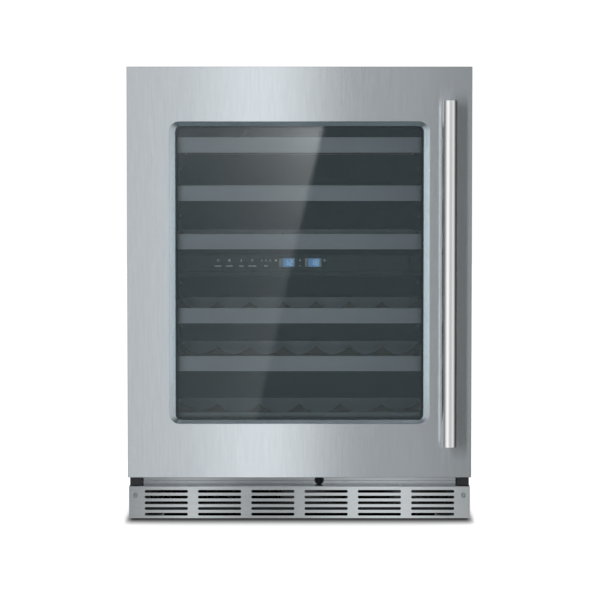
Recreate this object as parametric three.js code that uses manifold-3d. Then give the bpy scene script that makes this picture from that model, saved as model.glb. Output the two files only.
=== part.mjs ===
// A 24-inch undercounter wine cooler with two cooling zones, built as separate pieces.
// Millimetres, +Z up. The door faces -Y and +X is to the right as seen from the front.
// Every y here is a depth behind the door's front face. The group is moved at the end, so
// that the finished object is centred on x and y and stands on z = 0.

import * as THREE from 'three';
import { mergeVertices } from 'three/addons/utils/BufferGeometryUtils.js';
import Module from 'manifold-3d';

const wasm = await Module();
wasm.setup();

// ---- Driving dimensions -------------------------------------------------------------

const GAP = 0.3; // air between two pieces that touch
const SHEET = 1.5; // sheet metal
const HEIGHT = 800;
const DEPTH = 606; // door front to back panel

const DOOR = { half: 303, low: 78, high: 800, depth: 52, skinDepth: 50 };
const WINDOW = { half: 228, low: 173, high: 704, radius: 17.5 }; // at the door's face
const PANE = { half: 218.5, low: 179, high: 696.5, radius: 10 }; // at the bevel's foot
const BEVEL_DEPTH = 11;
const GLASS = { half: 240, low: 150, high: 720, thick: 4, space: 12 };
const SIGHT = { half: 235, low: 156, high: 714 }; // clear opening behind the glass
const GASKET = { half: 266, low: 122, high: 768, width: 18 };
const PIVOT = { x: -287, y: 28, radius: 4, play: 0.5 };
const HINGE_PLATE = { left: -297.5, right: -274, front: 18, back: 120, low: 789, high: 793 };
const HINGE_POCKET = { left: -305, right: -269, front: 9, back: 53, low: 785.7, high: 796.3 };

const HANDLE = { x: 260.8, y: -46, radius: 13.25, low: 136, high: 740, postRadius: 9 };
const HANDLE_POST_HEIGHTS = { upper: 696, lower: 183 };

const CABINET = { half: 300, front: 58, low: 14, high: 797, flange: 28 };
const FOAM = { low: 96, back: 604.2, half: 298.2 };
const LINER = { half: 236, low: 148, high: 744, back: 560, wall: 2 };
const HUMP = { front: 418, top: 250 }; // step in the liner over the compressor
const MACHINE_ROOM = { front: 450, top: 216 };
const DIVIDER = { low: 430, high: 470, front: 68.3, notchPitch: 61, notchWidth: 44, notches: 7 };
const FASCIA = { left: -195, right: 196, front: 64, back: 68, low: 439, high: 467.7 };
const LIGHT = { half: 120, front: 84, back: 98, low: 738 };

const KICK = { half: 302, front: 20, low: 3.6, high: 61 };
const SLOT = { groups: 6, rows: 5, groupPitch: 94.3, rowPitch: 10.15, length: 76.6, height: 5.1 };
const TOP_SLOT_HEIGHT = 51.2;
const KICK_SCREW = { x: 290.5, z: 44, headRadius: 5, shankRadius: 2 };
const RAIL = { half: 277.5, front: 44, back: 95, low: 61.3, step: 67, high: 76 };
const HINGE_BLOCK = { inner: 279, outer: 300, front: 22, high: 76.8 };
const LOCK = { x: 35, z: 69.2, radius: 8.2, front: 41.5, back: 62 };

const SHELF = { half: 231, front: 68, trimHeight: 27, railHeight: 20 };
const UPPER_TOPS = [677.5, 591.5, 505.5];
const LOWER_TOPS = [373.5, 288];
const BOTTOM_TOP = 187;
const DEEP_SHELF = { depth: 450, rearBar: 365, places: 7, pitch: 63.4, width: 453.6, radius: 40 };
const SHORT_SHELF = { depth: 325, rearBar: 248, places: 6, pitch: 76.5, width: 449.6, radius: 50 };
const FRONT_BAR = 70;
const LEDGE = { inner: 222, start: 90, thick: 2.7 };

const DUCT = { half: 235.4, front: 528 };
const UPPER_DUCT = { low: 478, high: 722, fan: 596 };
const LOWER_DUCT = { low: 258, high: 424, fan: 340 };
const FAN_RADIUS = 44;
const CONDENSER = { left: -247, right: -33, front: 100, back: 302, low: 14, high: 92, fanRadius: 33 };
const FAN_HEIGHT = 54; // the condenser fan's centre
const COMPRESSOR = { x: 120, y: 527, radius: 68, low: 26, high: 160 };
const TRAY = { left: -190, right: 0, front: 462, back: 592, low: 14, high: 42, wall: 2 };
const INLET = { left: -268, right: -222, front: 585, low: 31, high: 61 };
const REAR_COVER = { half: 296, low: 16, high: 245.5 };
const LEG = { x: 262, frontY: 90, rearY: 575, footRadius: 19, threadRadius: 5 };
const PAN = { low: 12, high: 26, front: 60 };

// ---- Finishes -----------------------------------------------------------------------

const FINISHES = {
  steel: { color: 0xb8bfc4, roughness: 0.35, metalness: 1 },
  polished: { color: 0xd4d8da, roughness: 0.12, metalness: 1 },
  paintedSteel: { color: 0x55595c, roughness: 0.5, metalness: 0.3 },
  galvanised: { color: 0x9da3a6, roughness: 0.55, metalness: 0.9 },
  greyLiner: { color: 0x8b9195, roughness: 0.5, metalness: 0 },
  blackPlastic: { color: 0x15171a, roughness: 0.45, metalness: 0 },
  blackGlass: { color: 0x08090a, roughness: 0.08, metalness: 0 },
  smokedGlass: { color: 0x3a4246, roughness: 0.05, metalness: 0 },
  rubber: { color: 0x2a2c2e, roughness: 0.85, metalness: 0 },
  foam: { color: 0xd8cf9a, roughness: 0.9, metalness: 0 },
  wood: { color: 0x8a6a48, roughness: 0.6, metalness: 0 },
  aluminium: { color: 0xc4c8ca, roughness: 0.4, metalness: 1 },
  blackSteel: { color: 0x1b1c1e, roughness: 0.4, metalness: 0.5 },
  diffuser: { color: 0xf0f2f2, roughness: 0.5, metalness: 0 },
};

// ---- Solids -------------------------------------------------------------------------

function solidOf(geometry) {
  geometry.deleteAttribute('normal');
  geometry.deleteAttribute('uv');
  const merged = mergeVertices(geometry, 1e-3);
  return new wasm.Manifold(new wasm.Mesh({
    numProp: 3,
    vertProperties: merged.attributes.position.array,
    triVerts: Uint32Array.from(merged.index.array),
  }));
}

function geometryOf(solid) {
  const mesh = solid.getMesh();
  const geometry = new THREE.BufferGeometry();
  geometry.setAttribute('position', new THREE.BufferAttribute(mesh.vertProperties, 3));
  geometry.setIndex(new THREE.BufferAttribute(mesh.triVerts, 1));
  geometry.computeVertexNormals();
  return geometry;
}

const across = (half) => [-half, half];
const join = (solids) => solids.reduce((sum, solid) => sum.add(solid));

function box([x0, x1], [y0, y1], [z0, z1]) {
  const geometry = new THREE.BoxGeometry(x1 - x0, y1 - y0, z1 - z0);
  geometry.translate((x0 + x1) / 2, (y0 + y1) / 2, (z0 + z1) / 2);
  return solidOf(geometry);
}

function uprightRod(x, y, [z0, z1], radius, sides = 24) {
  const geometry = new THREE.CylinderGeometry(radius, radius, z1 - z0, sides);
  geometry.rotateX(Math.PI / 2);
  geometry.translate(x, y, (z0 + z1) / 2);
  return solidOf(geometry);
}

function deepRod(x, [y0, y1], z, radius, sides = 24) {
  const geometry = new THREE.CylinderGeometry(radius, radius, y1 - y0, sides);
  geometry.translate(x, (y0 + y1) / 2, z);
  return solidOf(geometry);
}

function crossRod([x0, x1], y, z, radius, sides = 8) {
  const geometry = new THREE.CylinderGeometry(radius, radius, x1 - x0, sides);
  geometry.rotateZ(Math.PI / 2);
  geometry.translate((x0 + x1) / 2, y, z);
  return solidOf(geometry);
}

// A turned piece on an upright axis, from [radius, z] points that start and end on the axis.
function turned(x, y, profile, sides = 24) {
  const points = profile.map(([radius, z]) => new THREE.Vector2(radius, z));
  const geometry = new THREE.LatheGeometry(points, sides);
  geometry.rotateX(Math.PI / 2);
  geometry.translate(x, y, 0);
  return solidOf(geometry);
}

// A front-view outline (x, z), extruded through a range of depths.
function slab(outline, [y0, y1], curveSegments = 6) {
  const settings = { depth: y1 - y0, bevelEnabled: false, curveSegments };
  const geometry = new THREE.ExtrudeGeometry(outline, settings);
  geometry.rotateX(Math.PI / 2);
  geometry.translate(0, y1, 0);
  return solidOf(geometry);
}

function roundedOutline({ half, low, high, radius }) {
  const right = half - radius;
  const outline = new THREE.Shape();
  outline.absarc(right, low + radius, radius, -Math.PI / 2, 0);
  outline.absarc(right, high - radius, radius, 0, Math.PI / 2);
  outline.absarc(-right, high - radius, radius, Math.PI / 2, Math.PI);
  outline.absarc(-right, low + radius, radius, Math.PI, 1.5 * Math.PI);
  return outline;
}

// The window's bevelled well at a depth, grown outwards by an offset.
function wellAt(depth, offset) {
  const t = depth / BEVEL_DEPTH;
  const blend = (key) => WINDOW[key] + (PANE[key] - WINDOW[key]) * t;
  return {
    half: blend('half') + offset,
    low: blend('low') - offset,
    high: blend('high') + offset,
    radius: blend('radius') + offset,
  };
}

// A plug that follows the bevelled well: extruded straight, then its rear end is drawn in.
function wellPlug([y0, y1], offset) {
  const front = roundedOutline(wellAt(y0, offset)).getPoints(6);
  const rear = roundedOutline(wellAt(y1, offset)).getPoints(6);
  const settings = { depth: y1 - y0, bevelEnabled: false };
  const geometry = new THREE.ExtrudeGeometry(new THREE.Shape(front), settings);
  const position = geometry.attributes.position;
  for (let i = 0; i < position.count; i++) {
    if (position.getZ(i) > 0) continue;
    const corner = new THREE.Vector2(position.getX(i), position.getY(i));
    const match = front.findIndex((point) => point.distanceTo(corner) < 1e-3);
    position.setXY(i, rear[match].x, rear[match].y);
  }
  geometry.rotateX(Math.PI / 2);
  geometry.translate(0, y1, 0);
  return solidOf(geometry);
}

function slotOutline(x, z, length, height) {
  const radius = height / 2;
  const reach = length / 2 - radius;
  const outline = new THREE.Shape();
  outline.absarc(x + reach, z, radius, -Math.PI / 2, Math.PI / 2);
  outline.absarc(x - reach, z, radius, Math.PI / 2, 1.5 * Math.PI);
  return outline;
}

// ---- Scene --------------------------------------------------------------------------

const cooler = new THREE.Group();

function place(name, solid, finish, group = cooler) {
  const mesh = new THREE.Mesh(geometryOf(solid), new THREE.MeshStandardMaterial(FINISHES[finish]));
  mesh.name = name;
  group.add(mesh);
}

// ---- Cabinet ------------------------------------------------------------------------

const topOfSides = CABINET.high - SHEET - GAP;
const hingeSlot = box(
  [HINGE_PLATE.left - GAP, HINGE_PLATE.right + GAP],
  [CABINET.front - 1, HINGE_PLATE.back + GAP],
  [HINGE_PLATE.low - GAP, HINGE_PLATE.high + GAP],
);

function sidePanel(side) {
  const skin = [side * CABINET.half, side * (CABINET.half - SHEET)].sort((a, b) => a - b);
  const flange = [side * CABINET.half, side * (CABINET.half - CABINET.flange)].sort((a, b) => a - b);
  return box(skin, [CABINET.front, FOAM.back], [CABINET.low, topOfSides])
    .add(box(flange, [CABINET.front, CABINET.front + SHEET], [80, topOfSides]));
}

function topPanel() {
  const flangeHalf = CABINET.half - CABINET.flange - GAP;
  const sheet = box(across(CABINET.half), [CABINET.front, DEPTH], [CABINET.high - SHEET, CABINET.high]);
  const flange = [CABINET.front, CABINET.front + SHEET];
  return sheet.add(box(across(flangeHalf), flange, [771, CABINET.high]));
}

function insulation() {
  const { half, wall } = LINER;
  const fit = wall + GAP;
  const tall = box(across(half + fit), [50, HUMP.front + fit], [LINER.low - fit, LINER.high + fit]);
  const deep = box(across(half + fit), [50, LINER.back + fit], [HUMP.top - fit, LINER.high + fit]);
  const machines = box(across(FOAM.half + 1), [MACHINE_ROOM.front, 610], [0, MACHINE_ROOM.top]);
  return box(across(FOAM.half), [CABINET.front + 2 + GAP, FOAM.back], [FOAM.low, topOfSides])
    .subtract(tall)
    .subtract(deep)
    .subtract(machines)
    .subtract(hingeSlot);
}

function liner() {
  const { half, low, high, back, wall } = LINER;
  const front = CABINET.front;
  const shell = box(across(half + wall), [front, HUMP.front + wall], [low - wall, high + wall])
    .add(box(across(half + wall), [front, back + wall], [HUMP.top - wall, high + wall]))
    .add(box(across(271.4), [front, front + 2], [80.3, 770.7]));
  return shell
    .subtract(box(across(half), [front - 1, HUMP.front], [low, high]))
    .subtract(box(across(half), [front - 1, back], [HUMP.top, high]));
}

function zoneDivider() {
  const depths = [DIVIDER.front, LINER.back - GAP];
  const body = box(across(LINER.half - GAP), depths, [DIVIDER.low, DIVIDER.high]);
  const notches = [];
  for (let i = 0; i < DIVIDER.notches; i++) {
    const x = (i - (DIVIDER.notches - 1) / 2) * DIVIDER.notchPitch;
    const width = [x - DIVIDER.notchWidth / 2, x + DIVIDER.notchWidth / 2];
    notches.push(box(width, [60, DIVIDER.front + 9], [DIVIDER.high - 4, 480]));
  }
  return body.subtract(join(notches));
}

function basePan() {
  const half = FOAM.half;
  const inside = [PAN.front + SHEET, FOAM.back - SHEET];
  const tray = box(across(half), [PAN.front, FOAM.back], [PAN.low, PAN.high])
    .subtract(box(across(half - SHEET), inside, [PAN.low + SHEET, PAN.high + 1]));
  const holes = [];
  for (const x of [-LEG.x, LEG.x]) {
    for (const y of [LEG.frontY, LEG.rearY]) {
      holes.push(uprightRod(x, y, [0, 30], LEG.threadRadius + GAP));
    }
  }
  return tray.subtract(join(holes));
}

function frontRail() {
  const { half, front, back, low, step, high } = RAIL;
  const foot = front + 2 * SHEET;
  const profile = join([
    box(across(half), [front, front + SHEET], [step, high]),
    box(across(half), [front, foot + SHEET], [step, step + 1.2]),
    box(across(half), [foot, foot + SHEET], [low, step + 1.2]),
    box(across(half), [front, back], [high - SHEET, high]),
  ]);
  return profile.subtract(deepRod(LOCK.x, [30, LOCK.back + 1], LOCK.z, LOCK.radius + GAP, 32));
}

function toeGrille() {
  const { half, front, low, high } = KICK;
  const shell = join([
    box(across(half), [front, front + SHEET], [low, high]),
    box(across(half), [front, RAIL.front - GAP], [high - SHEET, high]),
    box([-half, -half + SHEET], [front, CABINET.front - GAP], [low, high]),
    box([half - SHEET, half], [front, CABINET.front - GAP], [low, high]),
  ]);
  const holeRadius = KICK_SCREW.shankRadius + 0.4;
  const cuts = [-1, 1].map((side) => (
    deepRod(side * KICK_SCREW.x, [10, 30], KICK_SCREW.z, holeRadius, 12)
  ));
  for (let group = 0; group < SLOT.groups; group++) {
    const x = (group - (SLOT.groups - 1) / 2) * SLOT.groupPitch;
    for (let row = 0; row < SLOT.rows; row++) {
      const z = TOP_SLOT_HEIGHT - row * SLOT.rowPitch;
      cuts.push(slab(slotOutline(x, z, SLOT.length, SLOT.height), [10, 30], 4));
    }
  }
  return shell.subtract(join(cuts));
}

function kickScrew(x) {
  const { z, headRadius, shankRadius } = KICK_SCREW;
  const headFront = KICK.front - 2.8;
  const head = deepRod(x, [headFront, KICK.front - GAP], z, headRadius);
  const shank = deepRod(x, [KICK.front - 1, KICK.front + 12], z, shankRadius, 12);
  const driveSlot = new THREE.BoxGeometry(12, 1.4, 1.6);
  driveSlot.rotateY(Math.PI / 4);
  driveSlot.translate(x, headFront, z);
  return head.add(shank).subtract(solidOf(driveSlot));
}

function ventSlots(x, columns, width, rows, lowest) {
  const cuts = [];
  for (let column = 0; column < columns; column++) {
    for (let row = 0; row < rows; row++) {
      const centre = x + (column - (columns - 1) / 2) * (width + 14);
      cuts.push(slab(slotOutline(centre, lowest + row * 20, width, 8), [600, 610], 2));
    }
  }
  return join(cuts);
}

function rearVentCover() {
  const { half, low, high } = REAR_COVER;
  const inlet = box(
    [INLET.left - GAP, INLET.right + GAP], [600, 610], [INLET.low - GAP, INLET.high + GAP],
  );
  return box(across(half), [DEPTH - SHEET, DEPTH], [low, high])
    .subtract(ventSlots(40, 3, 120, 8, 60))
    .subtract(inlet);
}

function topHingePlate() {
  const { left, right, front, back, low, high } = HINGE_PLATE;
  const pin = uprightRod(PIVOT.x, PIVOT.y, [low - 16, low + 2], PIVOT.radius);
  return box([left, right], [front, back], [low, high]).add(pin);
}

function hingeBlock(side) {
  const x = [side * HINGE_BLOCK.inner, side * HINGE_BLOCK.outer].sort((a, b) => a - b);
  const block = box(x, [HINGE_BLOCK.front, CABINET.front - GAP], [KICK.high + GAP, HINGE_BLOCK.high]);
  if (side > 0) return block;
  return block.add(uprightRod(PIVOT.x, PIVOT.y, [70, 92], PIVOT.radius));
}

function lockBarrel() {
  const { x, z, radius, front, back } = LOCK;
  const keyhole = deepRod(x, [front - 1, front + 6], z + 3.3, 6.5);
  return deepRod(x, [front, back], z, radius, 32).subtract(keyhole);
}

function buildCabinet() {
  const fascia = box(
    [FASCIA.left, FASCIA.right], [FASCIA.front, FASCIA.back], [FASCIA.low, FASCIA.high],
  );
  const light = box(across(LIGHT.half), [LIGHT.front, LIGHT.back], [LIGHT.low, LINER.high - GAP]);
  place('left_side_panel', sidePanel(-1).subtract(hingeSlot), 'paintedSteel');
  place('right_side_panel', sidePanel(1), 'paintedSteel');
  place('top_panel', topPanel(), 'paintedSteel');
  const backSheet = [REAR_COVER.high + 0.5, topOfSides];
  const back = box(across(FOAM.half), [DEPTH - SHEET, DEPTH], backSheet);
  place('back_panel', back, 'galvanised');
  place('rear_vent_cover', rearVentCover(), 'blackSteel');
  place('insulation_foam', insulation(), 'foam');
  place('liner', liner(), 'greyLiner');
  place('zone_divider', zoneDivider(), 'blackPlastic');
  place('control_fascia', fascia, 'blackGlass');
  place('base_pan', basePan(), 'blackSteel');
  place('front_rail', frontRail(), 'steel');
  place('toe_grille', toeGrille(), 'steel');
  place('kick_screw_left', kickScrew(-KICK_SCREW.x), 'polished');
  place('kick_screw_right', kickScrew(KICK_SCREW.x), 'polished');
  place('top_hinge_plate', topHingePlate(), 'blackSteel');
  place('bottom_hinge_bracket', hingeBlock(-1), 'blackSteel');
  place('hinge_blank_cover', hingeBlock(1), 'blackPlastic');
  place('lock_barrel', lockBarrel(), 'polished');
  place('upper_light', light, 'diffuser');
}

// ---- Cooling system -----------------------------------------------------------------

// A fan rotor on a front-to-back shaft, whose hub starts at the given depth.
function rotor(x, hubFront, z, radius, blades) {
  const hubRadius = radius * 0.36;
  const chord = 0.8 * (2 * Math.PI * radius * 0.7) / blades;
  const parts = [
    deepRod(x, [hubFront, hubFront + 13], z, hubRadius),
    deepRod(x, [hubFront - 3.2, hubFront + 2], z, 2.5, 12),
  ];
  const length = radius - hubRadius * 0.6;
  for (let i = 0; i < blades; i++) {
    const blade = new THREE.BoxGeometry(length, 1.8, chord);
    blade.rotateX(0.55);
    blade.translate(radius - length / 2, 0, 0);
    blade.rotateY((i * 2 * Math.PI) / blades);
    blade.translate(x, hubFront + 7, z);
    parts.push(solidOf(blade));
  }
  return join(parts);
}

// The plate before an evaporator, with its outlet slots along the top and the fan's bearing.
function ductCover({ low, high, fan }) {
  const { half, front } = DUCT;
  const back = LINER.back - GAP;
  const pan = join([
    box(across(half), [front, front + 2], [low, high]),
    box([-half, -half + 2], [front, back], [low, high]),
    box([half - 2, half], [front, back], [low, high]),
    deepRod(0, [front + 1, front + 6.2], fan, 12),
  ]);
  const cuts = [deepRod(0, [front + 2.5, front + 10], fan, 2.9, 12)];
  for (let i = -3; i <= 3; i++) {
    cuts.push(slab(slotOutline(i * 60, high - 7, 48, 6), [front - 5, front + 5], 2));
  }
  return pan.subtract(join(cuts));
}

function evaporator({ low, high }) {
  const plateFront = LINER.back - 6;
  const plate = box(across(170), [plateFront, plateFront + 3], [low + 6, high - 8]);
  const ridges = [];
  for (let z = low + 24; z < high - 16; z += 22) {
    ridges.push(crossRod(across(160), plateFront, z, 3));
  }
  return plate.add(join(ridges));
}

function compressor() {
  const { x, y, radius, low, high } = COMPRESSOR;
  const shell = turned(x, y, [
    [0, low], [radius - 16, low], [radius - 4, low + 8], [radius, low + 24], [radius, high - 50],
    [radius - 4, high - 26], [radius - 18, high - 10], [radius - 42, high - 2], [0, high],
  ], 22);
  const floor = PAN.low + SHEET + GAP;
  const feet = join([-1, 1].flatMap((i) => [-1, 1].map((j) => (
    uprightRod(x + i * 62, y + j * 58, [floor, low], 9, 12)
  ))));
  const mount = box([x - 72, x + 72], [y - 68, y + 68], [low - 2, low + 2]);
  const terminals = box([x - 92, x - 60], [y - 22, y + 22], [60, 104]);
  const stubs = join([-30, 30].map((dx) => uprightRod(x + dx, y - 30, [130, 182], 4, 10)));
  return join([shell, mount, feet, terminals, stubs]);
}

function condenser() {
  const { left, right, front, back, low, high, fanRadius } = CONDENSER;
  const fins = [];
  for (let x = left + 16; x < right - 5; x += 16) {
    fins.push(box([x, x + 1.2], [front, back - 1], [low + 6, high - 4]));
  }
  const tubes = [150, 250].map((y) => crossRod([left, right], y, FAN_HEIGHT, 5, 6));
  const centre = (left + right) / 2;
  const plate = [back - 2, back];
  const spokes = [
    box([centre - 40, centre + 40], [back - 2, back + 1], [FAN_HEIGHT - 4, FAN_HEIGHT + 4]),
    box([centre - 4, centre + 4], [back - 2, back + 1], [low + 6, high - 4]),
  ];
  const shroud = box([left, right], plate, [low, high])
    .subtract(deepRod(centre, [back - 12, back + 8], FAN_HEIGHT, fanRadius + 1))
    .add(join(spokes))
    .add(deepRod(centre, [back - 2, back + 4.2], FAN_HEIGHT, 10))
    .subtract(deepRod(centre, [back + 1, back + 8], FAN_HEIGHT, 2.9, 12));
  const ends = [left, right - 2].map((x) => box([x, x + 2], [front - 2, back], [low - 0.2, high]));
  return join([...fins, ...tubes, shroud, ...ends]);
}

function dripTray() {
  const { left, right, front, back, low, high, wall } = TRAY;
  const inside = [[left + wall, right - wall], [front + wall, back - wall], [low + wall, high + 1]];
  return box([left, right], [front, back], [low, high]).subtract(box(...inside));
}

function powerInlet() {
  const { left, right, front, low, high } = INLET;
  const centre = (left + right) / 2;
  const pins = [[-6, 13], [0, 18], [6, 13]].map(([dx, dz]) => (
    box([centre + dx - 1, centre + dx + 1], [front, DEPTH - 4], [low + dz - 2.5, low + dz + 2.5])
  ));
  return box([left, right], [front, DEPTH], [low, high])
    .subtract(box([left + 10, right - 10], [front + 5, DEPTH + 1], [low + 6, high - 6]))
    .add(join(pins));
}

function buildCooling() {
  const ducts = { upper: UPPER_DUCT, lower: LOWER_DUCT };
  for (const [zone, duct] of Object.entries(ducts)) {
    place(`${zone}_duct_cover`, ductCover(duct), 'greyLiner');
    place(`${zone}_evaporator`, evaporator(duct), 'aluminium');
    const fan = rotor(0, DUCT.front + 6.5, duct.fan, FAN_RADIUS, 7);
    place(`${zone}_fan`, fan, 'blackPlastic');
  }
  const condenserCentre = (CONDENSER.left + CONDENSER.right) / 2;
  const hubFront = CONDENSER.back + 4.5;
  const fan = rotor(condenserCentre, hubFront, FAN_HEIGHT, CONDENSER.fanRadius, 7);
  place('condenser', condenser(), 'blackSteel');
  place('condenser_fan', fan, 'blackPlastic');
  place('compressor', compressor(), 'blackSteel');
  place('drip_tray', dripTray(), 'blackPlastic');
  place('power_inlet', powerInlet(), 'blackPlastic');
}

// ---- Door ---------------------------------------------------------------------------

const hingePocket = box(
  [HINGE_POCKET.left, HINGE_POCKET.right],
  [HINGE_POCKET.front, HINGE_POCKET.back],
  [HINGE_POCKET.low, HINGE_POCKET.high],
);
const hingeBores = join([
  uprightRod(PIVOT.x, PIVOT.y, [70, 93], PIVOT.radius + PIVOT.play),
  uprightRod(PIVOT.x, PIVOT.y, [772, 790], PIVOT.radius + PIVOT.play),
]);

function frameRing(outer, inner, depths) {
  return box(across(outer.half), depths, [outer.low, outer.high])
    .subtract(box(across(inner.half), [depths[0] - 1, depths[1] + 1], [inner.low, inner.high]));
}

function doorSkin() {
  const { half, low, high, skinDepth } = DOOR;
  const inside = [low + SHEET, high - SHEET];
  const pan = box(across(half), [0, skinDepth], [low, high])
    .subtract(box(across(half - SHEET), [SHEET, skinDepth + 1], inside));
  return pan
    .add(wellPlug([0, BEVEL_DEPTH], SHEET))
    .subtract(wellPlug([-1, BEVEL_DEPTH + 1], 0))
    .subtract(hingePocket)
    .subtract(hingeBores);
}

function doorFoam() {
  const core = { half: DOOR.half - SHEET - GAP, low: DOOR.low + SHEET + GAP };
  core.high = DOOR.high - SHEET - GAP;
  const glassWell = box(
    across(GLASS.half + GAP), [BEVEL_DEPTH + 1, 45], [GLASS.low - GAP, GLASS.high + GAP],
  );
  return box(across(core.half), [SHEET + GAP, 42], [core.low, core.high])
    .subtract(wellPlug([1, BEVEL_DEPTH + 2], SHEET + GAP))
    .subtract(glassWell)
    .subtract(hingePocket)
    .subtract(hingeBores);
}

function doorInnerFrame(innerGlassBack) {
  const outer = { half: DOOR.half - SHEET - GAP, low: DOOR.low + SHEET + GAP };
  outer.high = DOOR.high - SHEET - GAP;
  return frameRing(outer, SIGHT, [42 + GAP, DOOR.depth])
    .add(frameRing(GLASS, SIGHT, [innerGlassBack + GAP, 43]))
    .subtract(hingePocket);
}

function handleBar() {
  const { x, y, radius, low, high } = HANDLE;
  return turned(x, y, [
    [0, low], [radius - 0.8, low], [radius, low + 0.8],
    [radius, high - 0.8], [radius - 0.8, high], [0, high],
  ], 36);
}

function handlePost(z) {
  const grip = uprightRod(HANDLE.x, HANDLE.y, [z - 30, z + 30], HANDLE.radius + GAP, 36);
  return deepRod(HANDLE.x, [HANDLE.y + 6, -GAP], z, HANDLE.postRadius).subtract(grip);
}

function buildDoor() {
  const outerFront = BEVEL_DEPTH + 1 + GAP;
  const outerBack = outerFront + GLASS.thick;
  const innerFront = outerBack + GLASS.space + 2 * GAP;
  const innerBack = innerFront + GLASS.thick;
  const pane = [GLASS.low, GLASS.high];
  const spacerInside = { half: GLASS.half - 13, low: GLASS.low + 13, high: GLASS.high - 13 };
  const sealInside = {
    half: GASKET.half - GASKET.width,
    low: GASKET.low + GASKET.width,
    high: GASKET.high - GASKET.width,
  };
  place('door_skin', doorSkin(), 'steel');
  place('door_foam', doorFoam(), 'foam');
  place('door_inner_frame', doorInnerFrame(innerBack), 'greyLiner');
  place('outer_glass', box(across(GLASS.half), [outerFront, outerBack], pane), 'smokedGlass');
  const spacer = frameRing(GLASS, spacerInside, [outerBack + GAP, innerFront - GAP]);
  place('glass_spacer', spacer, 'blackPlastic');
  place('inner_glass', box(across(GLASS.half), [innerFront, innerBack], pane), 'smokedGlass');
  const seal = frameRing(GASKET, sealInside, [DOOR.depth + GAP, CABINET.front - GAP]);
  place('door_gasket', seal, 'rubber');
  place('handle_bar', handleBar(), 'polished');
  for (const [name, z] of Object.entries(HANDLE_POST_HEIGHTS)) {
    place(`handle_post_${name}`, handlePost(z), 'polished');
  }
}

// ---- Shelves and their rails ----------------------------------------------------------

// Shelf pieces are drawn with the trim's front top edge at the origin.
function shelfFrame({ depth }) {
  const { half, trimHeight, railHeight } = SHELF;
  const rails = [-1, 1].flatMap((side) => {
    const web = [side * 227.1, side * half].sort((a, b) => a - b);
    const foot = [side * 215, side * half].sort((a, b) => a - b);
    return [box(web, [0, depth], [-railHeight, 0]), box(foot, [0, depth], [-railHeight, -18])];
  });
  return join([
    box(across(half), [0, 2], [-trimHeight, 0]),
    box(across(half), [0, 16], [-2, 0]),
    box(across(half), [0, 16], [-trimHeight, 2 - trimHeight]),
    ...rails,
    box(across(half), [depth - 4, depth], [-railHeight, 0]),
    box(across(221.7), [depth - 4, depth], [-trimHeight, -railHeight]),
  ]);
}

// Sags from one point to the next along an arc of the given radius.
function sag(outline, [x0, z0], [x1, z1], radius) {
  const chord = Math.hypot(x1 - x0, z1 - z0);
  const rise = Math.sqrt(radius ** 2 - (chord / 2) ** 2);
  const centreX = (x0 + x1) / 2 - (rise * (z1 - z0)) / chord;
  const centreZ = (z0 + z1) / 2 + (rise * (x1 - x0)) / chord;
  const from = Math.atan2(z0 - centreZ, x0 - centreX);
  const to = Math.atan2(z1 - centreZ, x1 - centreX);
  outline.absarc(centreX, centreZ, radius, from, to);
}

// A crossbar with one rounded place for each bottle; its inner crests stand 6 mm low.
function crossbarOutline({ places, pitch, width, radius }) {
  const crest = -6;
  const flat = 1.5;
  const end = width / 2;
  const base = -SHELF.trimHeight;
  const notch = -17.7;
  const outline = new THREE.Shape();
  outline.moveTo(-end, 0);
  for (let i = 0; i < places; i++) {
    const left = (i - places / 2) * pitch;
    const first = i === 0;
    const last = i === places - 1;
    const from = first ? [-end + 2, 0] : [left + flat, crest];
    const to = last ? [end - 2, 0] : [left + pitch - flat, crest];
    outline.lineTo(...from);
    sag(outline, from, to, radius);
  }
  outline.lineTo(end, 0);
  outline.lineTo(end, notch);
  outline.lineTo(214.7, notch);
  outline.lineTo(214.7, base);
  outline.lineTo(-214.7, base);
  outline.lineTo(-214.7, notch);
  outline.lineTo(-end, notch);
  return outline;
}

function shelfCradle(kind) {
  const outline = crossbarOutline(kind);
  const bars = [FRONT_BAR, kind.rearBar].map((y) => slab(outline, [y - 7, y + 7], 5));
  const battenX = kind.pitch * (kind.places % 2 ? 2 : 1.5);
  const battens = [-battenX, battenX].map((x) => (
    box([x - 8, x + 8], [FRONT_BAR, kind.rearBar], [-SHELF.trimHeight, -23])
  ));
  return join([...bars, ...battens]);
}

function buildShelf(number, top, kind) {
  const shelf = new THREE.Group();
  shelf.position.set(0, SHELF.front, top);
  place(`shelf_${number}_frame`, shelfFrame(kind), 'steel', shelf);
  place(`shelf_${number}_cradle`, shelfCradle(kind), 'wood', shelf);
  cooler.add(shelf);
}

function ledge(side, top, end) {
  const x = [side * LEDGE.inner, side * 235].sort((a, b) => a - b);
  const height = top - SHELF.railHeight - GAP;
  return box(x, [LEDGE.start, end], [height - LEDGE.thick, height]);
}

function railBracket(side, plates, ledges) {
  const x = [side * 233.2, side * (LINER.half - GAP)].sort((a, b) => a - b);
  return join([
    ...plates.map(([y, z]) => box(x, y, z)),
    ...ledges.map(([top, end]) => ledge(side, top, end)),
  ]);
}

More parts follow.
